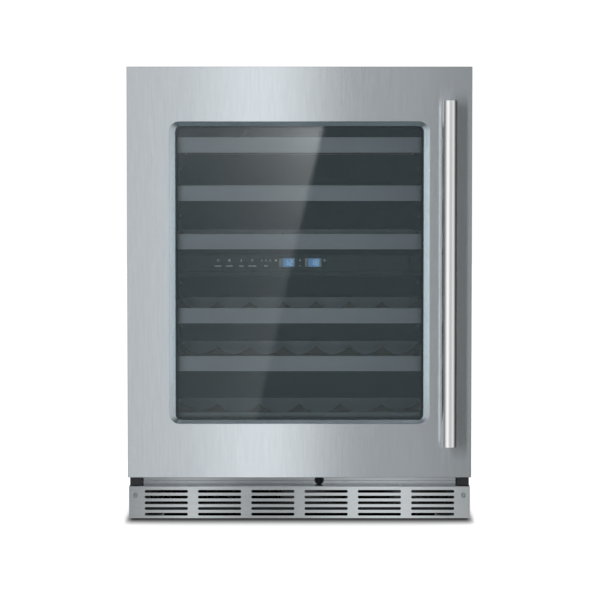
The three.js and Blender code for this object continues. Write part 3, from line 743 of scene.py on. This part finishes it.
FASCIA = grained("fascia_gloss", (0.014, 0.017, 0.018), 0.14, 40, 0.00002)
PRINT = grained("print_white", (0.55, 0.58, 0.6), 0.5, 3000, 0.00001)
DISPLAY_GREY = grained("display_grey", (0.20, 0.22, 0.23), 0.3, 3000, 0.00001)
DISPLAY_BLUE = glowing("display_blue", (0.10, 0.26, 0.50), 1.0)
DIGIT_GLOW = glowing("digit_glow", (0.55, 0.72, 0.85), 1.1)
BLACK_ENAMEL = grained("black_enamel", (0.006, 0.008, 0.009), 0.2, 700, 0.00001)
GLASS = smoked("smoked_glass", (0.885, 0.90, 0.905))


# ---- Door

def window_at(depth, grown=0.0):
    t = depth / WELL_DEPTH
    edge = {key: WINDOW[key] + (WELL_FOOT[key] - WINDOW[key]) * t for key in WINDOW}
    return {"half": edge["half"] + grown, "low": edge["low"] - grown,
            "high": edge["high"] + grown, "radius": edge["radius"] + grown, "y": FRONT + depth}


def make_door_skin():
    """The folded skin: wrapped edges, a flat face, a rounded bend and the bevelled well."""
    half, low, high = DOOR_HIGH.x, DOOR_LOW.z, DOOR_HIGH.z
    corner = 0.6 * MM
    bend_steps = 4
    window_bend = ((1.1, 0.0), (0.55, 0.06), (0.1, 0.35), (-0.2, 0.8))  # mm outwards, mm behind the face
    hem = 0.7 * MM
    loops = [rounded_loop(half, low, high, corner, DOOR_HIGH.y)]
    for i in range(bend_steps + 1):
        angle = math.radians(90 * i / bend_steps)
        inset = DOOR_BEND * (1 - math.cos(angle))
        depth = DOOR_BEND * (1 - math.sin(angle))
        loops.append(rounded_loop(half - inset, low + inset, high - inset, corner, FRONT + depth))
    for grown, depth in window_bend:
        loops.append(rounded_loop(**window_at(0, grown * MM) | {"y": FRONT + depth * MM}))
    loops.append(rounded_loop(**window_at(WELL_DEPTH)))
    loops.append(rounded_loop(**window_at(WELL_DEPTH) | {"y": FRONT + WELL_DEPTH + hem}))
    shell = piece("door_skin_shell", loft(loops), STEEL, "door", "brushed_steel", "door_skin")
    thicken(shell, DOOR_SHEET)
    apply_modifiers(shell)
    edge = 12 * MM
    slot_low = (DOOR_LOW.x - edge, HINGE_SLOT["front"], HINGE_SLOT["low"])
    slot_high = (DOOR_LOW.x + HINGE_SLOT["width"], HINGE_SLOT["back"], HINGE_SLOT["high"])
    pin_foot = (HINGE_PIN["x"], HINGE_PIN["y"], DOOR_LOW.z)
    cut(shell, [block(slot_low, slot_high), rod(HINGE_PIN["hole"], -edge, edge, pin_foot, "z", 24)])
    smooth(shell, 30)
    return shell


def make_hinge_pocket():
    """A thin lining in the slot for the upper hinge arm, open to the side and to the back."""
    wall = 0.25 * MM
    play = 0.05 * MM
    beyond = 5 * MM
    low = Vector((DOOR_LOW.x + DOOR_SHEET, HINGE_SLOT["front"] + play, HINGE_SLOT["low"] + play))
    high = Vector((DOOR_LOW.x + HINGE_SLOT["width"] - 2 * play, DOOR_HIGH.y, HINGE_SLOT["high"] - play))
    lining = piece("hinge_pocket", block(low, high), STEEL, "door", "brushed_steel")
    inner = block(low + Vector((-beyond, wall, wall)), high + Vector((-wall, beyond, -wall)))
    bore = rod(5 * MM, low.z - MM, low.z + MM, (HINGE_PIN["x"], HINGE_PIN["y"], 0), "z", 24)
    cut(lining, [inner, bore])


def make_window_print():
    """The black enamel border printed on the back of the outer pane."""
    front = PANE_HIGH.y + 0.01 * MM
    back = PANE_HIGH.y + 0.05 * MM
    margin = 1 * MM
    inner = {"half": WELL_FOOT["half"] - PRINT_WIDTH, "low": WELL_FOOT["low"] + PRINT_WIDTH,
             "high": WELL_FOOT["high"] - PRINT_WIDTH, "radius": 8 * MM}
    outer = {"half": PANE_HIGH.x - margin, "low": PANE_LOW.z + margin,
             "high": PANE_HIGH.z - margin, "radius": 2 * MM}
    loops = [rounded_loop(**inner, y=front), rounded_loop(**outer, y=front),
             rounded_loop(**outer, y=back), rounded_loop(**inner, y=back)]
    piece("window_print", loft(loops, closed=True), BLACK_ENAMEL, "door", "black_plastic")


def make_gasket():
    """The magnetic seal: a mounting foot, a bellows and a flat magnet strip, mitred at the corners."""
    low, high = GASKET_LOW, GASKET_HIGH
    depth = high.y - low.y
    section = [
        (0, 0), (18, 0), (18, 0.16), (13, 0.24), (15.5, 0.45), (14.6, 0.6), (15.6, 0.75), (15.2, 0.95),
        (14.2, 1.0), (3.8, 1.0), (2.8, 0.95), (2.4, 0.75), (3.4, 0.6), (2.5, 0.45), (5, 0.24), (0, 0.16),
    ]
    loops = []
    for inset, share in section:
        inset *= MM
        loops.append(rounded_loop(high.x - inset, low.z + inset, high.z - inset,
                                  max(7 * MM - inset, 0.5 * MM), low.y + share * depth, 4))
    seal = piece("door_seal", loft(loops, closed=True), RUBBER, "door", "gasket_rubber", "door_gasket")
    smooth(seal, 50)


def make_handle():
    """A round bar with crowned ends on two turned posts."""
    centre = middle_of(BAR_LOW, BAR_HIGH, "z")
    radius = (BAR_HIGH.x - BAR_LOW.x) / 2
    foot = BAR_LOW.z
    edge = 0.8 * MM
    crown = 0.25 * MM
    profile = [
        (0, foot), (radius - 3 * edge, foot + crown), (radius - edge, foot + crown * 1.5),
        (radius - 0.3 * edge, foot + edge * 0.8), (radius, foot + 2 * edge),
    ]
    profile += [(r, foot + BAR_HIGH.z - z) for r, z in reversed(profile)]
    bar = piece("handle_tube", turned(profile, centre, "z", 96), POLISHED, "door",
                "polished_steel", "handle_bar")
    smooth(bar, 30)
    made = [bar]
    for name in ("handle_post_upper", "handle_post_lower"):
        low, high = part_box(name)
        back = high.y
        post = (high.x - low.x) / 2
        neck = post - 0.8 * MM
        start = centre[1] + radius * 0.75
        profile = [
            (0, start), (neck, start), (neck, back - 5 * MM), (neck + 0.3 * MM, back - 4.4 * MM),
            (post, back - 4 * MM), (post, back - 0.4 * MM), (post - 0.4 * MM, back), (0, back),
        ]
        turned_post = piece(f"{name}_turned", turned(profile, middle_of(low, high), "y", 48), POLISHED,
                            "door", "polished_steel", name)
        smooth(turned_post, 30)
        made.append(turned_post)
    return made


# ---- Kick, rail and lock

def make_kick():
    """The folded toe grille: rounded bends, five rows of slots and two screw holes."""
    work = cube_between(KICK_LOW, KICK_HIGH)
    open_faces = [face for face in work.faces if face.normal.y > 0.5 or face.normal.z < -0.5]
    bmesh.ops.delete(work, geom=open_faces, context="FACES")
    bends = [edge for edge in work.edges if len(edge.link_faces) == 2]
    round_off(work, bends, KICK_BEND, 5)
    kick = piece("toe_grille_panel", settled(work, "kick"), KICK_STEEL, "cabinet",
                 "brushed_steel", "toe_grille")
    thicken(kick, KICK_SHEET)
    apply_modifiers(kick)
    through = (KICK_LOW.y - 5 * MM, KICK_LOW.y + 8 * MM)
    tools = []
    for column in range(SLOT["columns"]):
        x = (column - (SLOT["columns"] - 1) / 2) * SLOT["pitch"]
        for row in range(SLOT["rows"]):
            outline = stadium(x, SLOT["top"] - row * SLOT["drop"], SLOT["length"], SLOT["height"])
            tools.append(extruded(outline, *through, "y"))
    for name in ("kick_screw_left", "kick_screw_right"):
        tools.append(rod(2.4 * MM, *through, middle_of(*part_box(name))))
    flange_end = RAIL_LOW.y - 0.3 * MM  # the top flange stops in front of the rail
    flange_low, flange_high = KICK_HIGH.z - 5 * MM, KICK_HIGH.z + 6 * MM
    tools.append(block((-RAIL_HIGH.x, flange_end, flange_low), (RAIL_HIGH.x, KICK_HIGH.y + MM, flange_high)))
    for side in (-1, 1):
        xs = sorted((side * RAIL_HIGH.x, side * (KICK_HIGH.x - 2 * KICK_SHEET)))
        tools.append(block((xs[0], flange_end, flange_low), (xs[1], KICK_HIGH.y + MM, flange_high)))
    cut(kick, tools)
    smooth(kick, 30)
    return kick


def make_kick_screws():
    """Domed screw heads with a driver slot on the slant."""
    made = []
    for side in ("left", "right"):
        low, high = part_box(f"kick_screw_{side}")
        middle = middle_of(low, high)
        radius = (high.x - low.x) / 2
        shank = 2 * MM
        seat = KICK_LOW.y - 0.3 * MM
        profile = [
            (0, low.y), (radius * 0.5, low.y + 0.2 * MM), (radius * 0.85, low.y + 0.9 * MM),
            (radius, low.y + 1.6 * MM), (radius, seat), (shank, seat), (shank, high.y), (0, high.y),
        ]
        screw = piece(f"grille_screw_{side}", turned(profile, middle), SHADED_RAIL_STEEL, "cabinet",
                      "polished_steel", f"kick_screw_{side}")
        groove = block((-7 * MM, low.y - MM, -0.9 * MM), (7 * MM, low.y + 1.3 * MM, 0.9 * MM))
        turn = math.radians(45)
        for vertex in groove.vertices:
            x, y, z = vertex.co
            vertex.co = (middle[0] + x * math.cos(turn) - z * math.sin(turn), y,
                         middle[2] + x * math.sin(turn) + z * math.cos(turn))
        cut(screw, [groove])
        smooth(screw, 40)
        made.append(screw)
    return made


def make_rail():
    """The folded rail over the grille, with a stepped lower lip and the lock's hole."""
    y, z = RAIL_LOW.y, RAIL_LOW.z
    back, top = RAIL_HIGH.y, RAIL_HIGH.z
    step = z + 6.4 * MM
    sheet = 1.5 * MM
    lip = y + 3 * MM
    outline = [
        (lip, z), (lip, step - 0.4 * MM), (lip - 0.4 * MM, step), (y + 0.5 * MM, step), (y, step + 0.5 * MM),
        (y, top - 1.2 * MM), (y + 0.35 * MM, top - 0.35 * MM), (y + 1.2 * MM, top), (back, top),
        (back, top - sheet), (y + sheet, top - sheet), (y + sheet, step + sheet),
        (lip + sheet, step + sheet), (lip + sheet, z),
    ]
    rail = piece("front_rail_folded", extruded(outline, -RAIL_HIGH.x, RAIL_HIGH.x, "x"), SHADED_RAIL_STEEL,
                 "cabinet", "brushed_steel", "front_rail")
    radius = (LOCK_HIGH.x - LOCK_LOW.x) / 2 + 0.3 * MM
    middle = middle_of(LOCK_LOW, LOCK_HIGH)
    cut(rail, [rod(radius, LOCK_LOW.y - 5 * MM, LOCK_HIGH.y + MM, middle, segments=48)])
    smooth(rail, 30)
    return rail


def make_lock():
    """The lock's barrel: a rounded rim round a dark cone with a key slot."""
    radius = (LOCK_HIGH.x - LOCK_LOW.x) / 2
    middle = middle_of(LOCK_LOW, LOCK_HIGH)
    front, back = LOCK_LOW.y, LOCK_HIGH.y
    bowl = radius - 1.6 * MM
    profile = [
        (0, front + 6 * MM), (2.2 * MM, front + 6 * MM), (bowl, front + 0.8 * MM),
        (bowl + 0.3 * MM, front + 0.2 * MM), (bowl + 0.8 * MM, front),
        (radius - 0.3 * MM, front + 0.2 * MM), (radius, front + 0.7 * MM), (radius, back), (0, back),
    ]
    barrel = piece("lock_rim", turned(profile, middle, segments=48), BLACK_STEEL, "lock",
                   "black_steel", "lock_barrel")
    smooth(barrel, 30)
    cone = [
        (0, front + 5.9 * MM), (2.1 * MM, front + 5.9 * MM), (bowl - 0.2 * MM, front + 1.1 * MM),
        (bowl - 0.9 * MM, front + 1.1 * MM), (1.5 * MM, front + 5.2 * MM), (0, front + 5.2 * MM),
    ]
    face = piece("lock_bowl", turned(cone, middle, segments=48), BLACK_PLASTIC, "lock", "black_plastic")
    key_half = Vector((0.6 * MM, 3.5 * MM, 2.6 * MM))
    key_middle = Vector((middle[0], front + 5.5 * MM, middle[2]))
    cut(face, [block(key_middle - key_half, key_middle + key_half)])
    smooth(face, 40)


def make_hinge_blocks():
    """The blocks at the kick's corners: a rounded body with a raised front pad; one carries the pin."""
    top = 76.8 * MM
    pad = 3.4 * MM
    inset = 1.6 * MM
    pin = HINGE_PIN["hole"] - 0.5 * MM
    for name, finish, slot in (("bottom_hinge_bracket", BLACK_STEEL, "black_steel"),
                               ("hinge_blank_cover", BLACK_PLASTIC, "black_plastic")):
        low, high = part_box(name)
        parts = [
            block((low.x, low.y + 1.2 * MM, low.z), (high.x, high.y, top), 1.0 * MM, 3),
            block((low.x + pad, low.y, low.z + inset), (high.x - pad, low.y + 6 * MM, top - inset),
                  0.7 * MM, 3),
        ]
        if high.z > top + MM:
            profile = [(0, top - 4 * MM), (pin, top - 4 * MM), (pin, high.z - 1.5 * MM),
                       (pin - 1 * MM, high.z), (0, high.z)]
            parts.append(turned(profile, (HINGE_PIN["x"], HINGE_PIN["y"], 0), "z", 32))
        corner = piece(f"{name}_moulded", merged(parts), finish, "cabinet", slot, name)
        smooth(corner, 40)


# ---- Zone divider and control panel

def make_divider():
    """The divider between the zones, with a lip under the panel and notches along its top."""
    low, high = DIVIDER_LOW, DIVIDER_HIGH
    y, z, top = low.y, low.z, high.z
    lip_top = FASCIA_LOW.z - 0.3 * MM
    lip = y - 2.6 * MM
    outline = [
        (y + MM, z), (lip + 1.5 * MM, z + 0.6 * MM), (lip + 0.4 * MM, z + 2.2 * MM), (lip, z + 4 * MM),
        (lip, lip_top - 0.8 * MM), (lip + 0.8 * MM, lip_top), (y, lip_top + 0.2 * MM),
        (y, top - 1.5 * MM), (y + 0.5 * MM, top - 0.5 * MM), (y + 1.5 * MM, top), (high.y, top), (high.y, z),
    ]
    divider = piece("zone_divider_moulded", extruded(outline, low.x, high.x, "x"), BLACK_PLASTIC,
                    "cabinet", "black_plastic", "zone_divider")
    notches, pitch, half = 7, 61 * MM, 22 * MM
    tools = []
    for i in range(notches):
        x = (i - (notches - 1) / 2) * pitch
        tools.append(block((x - half, y - 5 * MM, top - 4 * MM), (x + half, y + 9 * MM, top + 5 * MM)))
    cut(divider, tools)
    soften(divider, 0.5 * MM)


SEGMENTS_OF = {"1": "bc", "2": "abged", "8": "abcdefg"}
FIGURE = {"pitch": 8.4, "width": 5.2 * MM, "height": 9.4 * MM}
FILM = 0.12 * MM
PRINT_DEPTH = 0.1 * MM
# The panel's marks in millimetres: places from the middle, then radius, or width and height.
RINGS = [(-145, 2.2), (-83.8, 1.9), (44.6, 1.9)]
SIGNS = [(-124.7, 3.6, 3.6), (-103.7, 2.0, 4.4), (-66.8, 1.7, 3.0), (-59.7, 1.7, 3.0),
         (-51.7, 1.7, 3.0), (-41.9, 3.8, 3.4)]
LABELS = [(-145, 12), (-124.7, 12), (-103.7, 8), (-83.8, 14), (-60, 7)]
# Each display: name, left end, lit part from and to, right end, and its figures.
DISPLAYS = [("upper", -36.5, -28.8, -9.6, -8.0, "12"), ("lower", 9.8, 16.2, 36.6, 39.2, "18")]


def digit(text, x, z, y):
    """A seven-segment figure as thin bars."""
    width, height = FIGURE["width"], FIGURE["height"]
    stroke = width * 0.22
    gap = stroke * 0.6
    half = height / 2
    across = {"a": half, "g": 0, "d": -half}
    upright = {"f": (-1, 1), "b": (1, 1), "e": (-1, -1), "c": (1, -1)}
    bars = []
    for name in SEGMENTS_OF[text]:
        if name in across:
            level = z + across[name]
            bars.append((x - width / 2 + gap, x + width / 2 - gap, level - stroke / 2, level + stroke / 2))
        else:
            side, level = upright[name]
            edge = x + side * width / 2
            bars.append((edge - stroke / 2, edge + stroke / 2,
                         z + min(level * half, 0) + gap, z + max(level * half, 0) - gap))
    return [block((x0, y - FILM, z0), (x1, y, z1)) for x0, x1, z0, z1 in bars]


def ring_mark(x, z, radius, y):
    outer = stadium(x, z, 2 * radius, 2 * radius)
    inner = stadium(x, z, 1.2 * radius, 1.2 * radius)
    loops = [[(a, depth, b) for a, b in outline] for outline, depth in
             ((outer, y), (outer, y - PRINT_DEPTH), (inner, y - PRINT_DEPTH), (inner, y))]
    return loft(loops, closed=True)


def bar_mark(x, z, width, height, y):
    return block((x - width / 2, y - PRINT_DEPTH, z - height / 2), (x + width / 2, y, z + height / 2))


def make_panel():
    """The gloss panel with two displays, touch marks and plain dashes where labels would be."""
    low, high = FASCIA_LOW, FASCIA_HIGH
    panel = piece("control_panel", block(low, high, 0.9 * MM, 3), FASCIA, "cabinet",
                  "fascia_gloss", "control_fascia")
    smooth(panel, 40)
    y = low.y
    signs, labels = low.z + 19.8 * MM, low.z + 9.8 * MM  # heights of the two rows
    marks = [ring_mark(x * MM, signs, radius * MM, y) for x, radius in RINGS]
    marks += [bar_mark(x * MM, signs, width * MM, height * MM, y) for x, width, height in SIGNS]
    marks += [bar_mark(x * MM, labels, width * MM, 1.7 * MM, y) for x, width in LABELS]
    marks += [bar_mark(1 * MM, z, 3.4 * MM, 1.0 * MM, y) for z in (signs, labels)]
    marks.append(bar_mark(1 * MM, signs, 1.0 * MM, 3.4 * MM, y - PRINT_DEPTH))
    piece("panel_marks", merged(marks), PRINT, "cabinet", "fascia_gloss")
    bottom, top = low.z + 8.3 * MM, low.z + 23.4 * MM
    border = 0.4 * MM
    for name, left, lit_left, lit_right, right, text in DISPLAYS:
        back_field = block((left * MM, y - FILM / 2, bottom), (right * MM, y, top))
        piece(f"{name}_display", back_field, DISPLAY_GREY, "cabinet", "fascia_gloss")
        lit = block((lit_left * MM, y - FILM, bottom + border), (lit_right * MM, y - 0.05 * MM, top - border))
        piece(f"{name}_display_field", lit, DISPLAY_BLUE, "cabinet", "fascia_gloss")
        figures = []
        for i, figure in enumerate(text):
            centre = (lit_left + lit_right) / 2 + (i - 0.5) * FIGURE["pitch"]
            figures += digit(figure, centre * MM, (bottom + top) / 2, y - FILM)
        piece(f"{name}_display_figures", merged(figures), DIGIT_GLOW, "cabinet", "fascia_gloss")


# ---- Shelves

DEEP_SHELF = {"places": 7, "pitch": 63.4 * MM, "radius": 40 * MM}
SHORT_SHELF = {"places": 6, "pitch": 76.5 * MM, "radius": 50 * MM}


def sag(start, end, radius, steps=16):
    """Points along an arc that sags between two points."""
    (x0, z0), (x1, z1) = start, end
    chord = math.hypot(x1 - x0, z1 - z0)
    rise = math.sqrt(radius ** 2 - (chord / 2) ** 2)
    centre_x = (x0 + x1) / 2 - rise * (z1 - z0) / chord
    centre_z = (z0 + z1) / 2 + rise * (x1 - x0) / chord
    first = math.atan2(z0 - centre_z, x0 - centre_x)
    last = math.atan2(z1 - centre_z, x1 - centre_x)
    return [(centre_x + radius * math.cos(first + (last - first) * i / steps),
             centre_z + radius * math.sin(first + (last - first) * i / steps)) for i in range(steps + 1)]


def make_cradle(number, kind):
    """Two scalloped beech crossbars and the battens that tie them, as on the CAD node."""
    low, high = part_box(f"shelf_{number}_cradle")
    end, top, base = high.x, high.z, low.z
    crest, flat, shoulder = top - 6 * MM, 1.5 * MM, 2 * MM
    notch, foot = top - 17.7 * MM, 214.7 * MM
    outline = [(-end, top)]
    for i in range(kind["places"]):
        left = (i - kind["places"] / 2) * kind["pitch"]
        start = (left + flat, crest) if i else (-end + shoulder, top)
        last = i == kind["places"] - 1
        finish = (end - shoulder, top) if last else (left + kind["pitch"] - flat, crest)
        outline += sag(start, finish, kind["radius"])
    outline += [(end, top), (end, notch), (foot, notch), (foot, base)]
    outline += [(-foot, base), (-foot, notch), (-end, notch)]
    bar, batten, thickness = 14 * MM, 16 * MM, 4 * MM
    parts = [extruded(outline, low.y, low.y + bar, "y"), extruded(outline, high.y - bar, high.y, "y")]
    reach = kind["pitch"] * (2 if kind["places"] % 2 else 1.5)
    for x in (-reach, reach):
        parts.append(block((x - batten / 2, low.y + bar, base),
                           (x + batten / 2, high.y - bar, base + thickness)))
    cradle = piece(f"shelf_{number}_crossbars", merged(parts), WOOD, f"shelf_{number}", "shelf_wood",
                   f"shelf_{number}_cradle")
    soften(cradle, 0.9 * MM, 3)


# ---- Back, screws and feet

def make_back_sheet():
    """The zinc-coated back with three panels pressed outwards, level with the screw heads."""
    low, high = BACK_LOW, BACK_HIGH
    face = high.y - HEAD_STANDS
    sheet = 0.8 * MM
    raised = face + 0.9 * MM
    slope = 4 * MM
    margin, gap, count = 26 * MM, 22 * MM, 3
    half = high.x - margin - 8 * MM
    height = (high.z - low.z - 2 * margin - (count - 1) * gap) / count
    plate = block((low.x, face - sheet, low.z), (high.x, face, high.z))
    back = piece("back_sheet", plate, GALVANISED, "cabinet", "galvanised_steel", "back_panel")
    parts = []
    tools = []
    for i in range(count):
        bottom = low.z + margin + i * (height + gap)
        outer = {"half": half, "low": bottom, "high": bottom + height, "radius": 16 * MM}
        inner = {"half": half - slope, "low": bottom + slope, "high": bottom + height - slope,
                 "radius": 12 * MM}
        opening, field = [[(x, z) for x, _, z in rounded_loop(**ring, y=0)] for ring in (outer, inner)]
        tools.append(extruded(opening, face - 5 * MM, face + 5 * MM, "y"))
        loops = [rounded_loop(**outer, y=face), rounded_loop(**inner, y=raised),
                 rounded_loop(**inner, y=raised - sheet), rounded_loop(**outer, y=face - sheet)]
        parts.append(loft(loops, closed=True))
        parts.append(extruded(field, raised - sheet, raised, "y"))
    cut(back, tools)
    pressing = piece("back_pressings", merged(parts), GALVANISED, "cabinet", "galvanised_steel")
    smooth(pressing, 20)


def make_vent_cover():
    """The black cover over the machine room, with rows of slots and an opening for the power inlet."""
    low, high = VENT_LOW, VENT_HIGH
    plate = block((low.x, low.y - 0.2 * MM, low.z), (high.x, high.y - HEAD_STANDS, high.z))
    cover = piece("vent_cover", plate, BLACK_STEEL, "cabinet", "black_steel", "rear_vent_cover")
    front, back = low.y - 5 * MM, high.y + 5 * MM
    tools = []
    for column in range(VENT_SLOT["columns"]):
        for row in range(VENT_SLOT["rows"]):
            x = VENT_SLOT["middle"] + (column - 1) * VENT_SLOT["pitch"]
            z = VENT_SLOT["lowest"] + row * VENT_SLOT["rise"]
            tools.append(extruded(stadium(x, z, VENT_SLOT["length"], VENT_SLOT["height"]), front, back, "y"))
    inlet_low, inlet_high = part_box("power_inlet")
    gap = 0.3 * MM
    tools.append(block((inlet_low.x - gap, front, inlet_low.z - gap),
                       (inlet_high.x + gap, back, inlet_high.z + gap)))
    cut(cover, tools)
    soften(cover, 0.35 * MM)


PAN_HEAD = [(0, 0.35), (0.32, 0.35), (0.36, 0.95), (0.6, 0.9), (0.85, 0.6), (1.0, 0.25),
            (1.0, -0.6), (0, -0.6)]  # shares of the radius and of the height


def pan_head(centre, axis, outward, radius=3.4 * MM, height=1.0 * MM):
    """A low domed screw head with a socket, sitting on a face that looks outward along an axis."""
    profile = [(share * radius, outward * level * height) for share, level in PAN_HEAD]
    return turned(profile, centre, axis, 20)


def make_screws():
    """The screw heads on the back, the vent cover, the sides and the top."""
    inset = 12 * MM
    face = BACK_HIGH.y - HEAD_STANDS
    edge = BACK_HIGH.x - 11 * MM
    ends = (BACK_LOW.z + inset, BACK_HIGH.z - inset)
    places = [(x, z) for z in (ends[0], 0.385, 0.515, 0.645, ends[1]) for x in (-edge, edge)]
    places += [(x, z) for x in (-0.15, 0.15) for z in ends]
    places += [(x, z) for x in (VENT_LOW.x + inset, VENT_HIGH.x - inset)
               for z in (VENT_LOW.z + 11 * MM, VENT_HIGH.z - inset)]
    heads = [pan_head((x, face, z), "y", 1) for x, z in places]
    piece("back_screws", merged(heads), POLISHED, "cabinet", "polished_steel")

    low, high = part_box("right_side_panel")
    places = [(high.y - 16 * MM, low.z + 22 * MM), (low.y + 40 * MM, low.z + 22 * MM),
              (high.y - 16 * MM, high.z - 20 * MM)]
    heads = [pan_head((side * high.x, y, z), "x", side) for side in (1, -1) for y, z in places]
    piece("side_screws", merged(heads), BLACK_STEEL, "cabinet", "black_steel")

    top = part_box("top_panel")[1]
    hinge = (HINGE_LOW.x + HINGE_HIGH.x) / 2
    places = [(x, top.y - 14 * MM) for x in (-0.27, -0.09, 0.09, 0.27)]
    places += [(hinge, FRONT + y * MM) for y in (80, 102)]
    heads = [pan_head((x, y, top.z), "z", 1) for x, y in places]
    piece("top_screws", merged(heads), BLACK_STEEL, "cabinet", "black_steel")


def make_duct_screws():
    """The small screws that hold the two duct covers, near their side edges."""
    height = 1.4 * MM
    heads = []
    for name, levels in (("upper_duct_cover", (0.531, 0.623)), ("lower_duct_cover", (0.318, 0.402))):
        low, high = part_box(name)
        edge = high.x - 3.6 * MM
        heads += [pan_head((x, low.y, z), "y", -1, 3 * MM, height) for z in levels for x in (-edge, edge)]
    heads.append(pan_head((-0.107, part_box("upper_duct_cover")[0].y, 0.694), "y", -1, 3.5 * MM, height))
    piece("duct_screws", merged(heads), ALUMINIUM, "cabinet", "aluminium")


def make_legs():
    """Levelling legs: a domed foot, a hexagonal adjusting collar and a threaded rod."""
    collar = [(r * MM, z * MM) for r, z in
              ((0, 7), (9.6, 7), (10.8, 7.8), (10.8, 11), (9.6, 11.7), (0, 11.7))]
    turns, rise, core, crest = 18, 1.55 * MM, 4.4 * MM, 5 * MM
    for place in ("front_left", "front_right", "rear_left", "rear_right"):
        name = f"leg_{place}"
        low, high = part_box(name)
        middle = middle_of(low, high, "z")
        foot = (high.x - low.x) / 2
        profile = [
            (0, 0), (foot - 2.5 * MM, 0), (foot - 0.6 * MM, 0.6 * MM), (foot, 2 * MM), (foot, 4 * MM),
            (foot - 1.2 * MM, 5.2 * MM), (11 * MM, 7 * MM), (8 * MM, 7.4 * MM), (0, 7.4 * MM),
        ]
        thread = [(0, 11 * MM)]
        for i in range(turns):
            z = 11.7 * MM + i * rise
            thread += [(core, z), (crest, z + 0.78 * MM)]
        thread += [(core, high.z - 0.4 * MM), (0, high.z - 0.2 * MM)]
        parts = [turned(profile, middle, "z", 40), turned(collar, middle, "z", 6),
                 turned(thread, middle, "z", 20)]
        leg = piece(f"levelling_leg_{place}", merged(parts), BLACK_PLASTIC, f"{place}_leg",
                    "black_plastic", name)
        smooth(leg, 30)


# ---- CAD nodes that keep their shape

KEPT = {  # finish: rounding of the edges in millimetres, then the nodes
    CABINET_PAINT: (0.9, "left_side_panel", "right_side_panel", "top_panel"),
    # the base pan is black here, not zinc-coated: painted shade that keeps the view through the grille's
    # slots dark
    BLACK_STEEL: (0.6, "top_hinge_plate", "compressor", "condenser", "base_pan"),
    LINER_GREY: (0.5, "liner", "upper_duct_cover", "lower_duct_cover", "upper_rails_left",
                 "upper_rails_right", "lower_rails_left", "lower_rails_right", "door_inner_frame"),
    BLACK_PLASTIC: (0.4, "glass_spacer", "upper_fan", "lower_fan", "condenser_fan", "drip_tray",
                    "power_inlet"),
    GLASS: (0.3, "outer_glass", "inner_glass"),
    FOAM: (1.0, "insulation_foam", "door_foam"),
    ALUMINIUM: (0.3, "upper_evaporator", "lower_evaporator"),
    DIFFUSER: (1.2, "upper_light"),
    TRIM_STEEL: (0.5, *(f"shelf_{number}_frame" for number in SHELVES)),
}


def finish_kept_nodes():
    for finish, (edge, *names) in KEPT.items():
        for name in names:
            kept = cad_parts[name]
            kept.data.materials.clear()
            kept.data.materials.append(finish)
            soften(kept, edge * MM)


# ---- The whole

make_camera()
make_world()
make_floor()

door_steel = [make_door_skin()]
make_hinge_pocket()
make_window_print()
make_gasket()
chrome = make_handle()
kick_steel = [make_kick(), make_rail(), *make_kick_screws()]
make_lock()
make_hinge_blocks()
make_divider()
make_panel()
for number in SHELVES:
    make_cradle(number, SHORT_SHELF if number == SHELVES[-1] else DEEP_SHELF)
make_back_sheet()
make_vent_cover()
make_screws()
make_duct_screws()
make_legs()
finish_kept_nodes()
panes = [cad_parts["outer_glass"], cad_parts["inner_glass"]]
make_cards(door_steel, kick_steel, chrome, panes)
make_side_lamp(door_steel)

scene = bpy.context.scene
scene.view_settings.view_transform = "Standard"
scene.view_settings.look = "None"
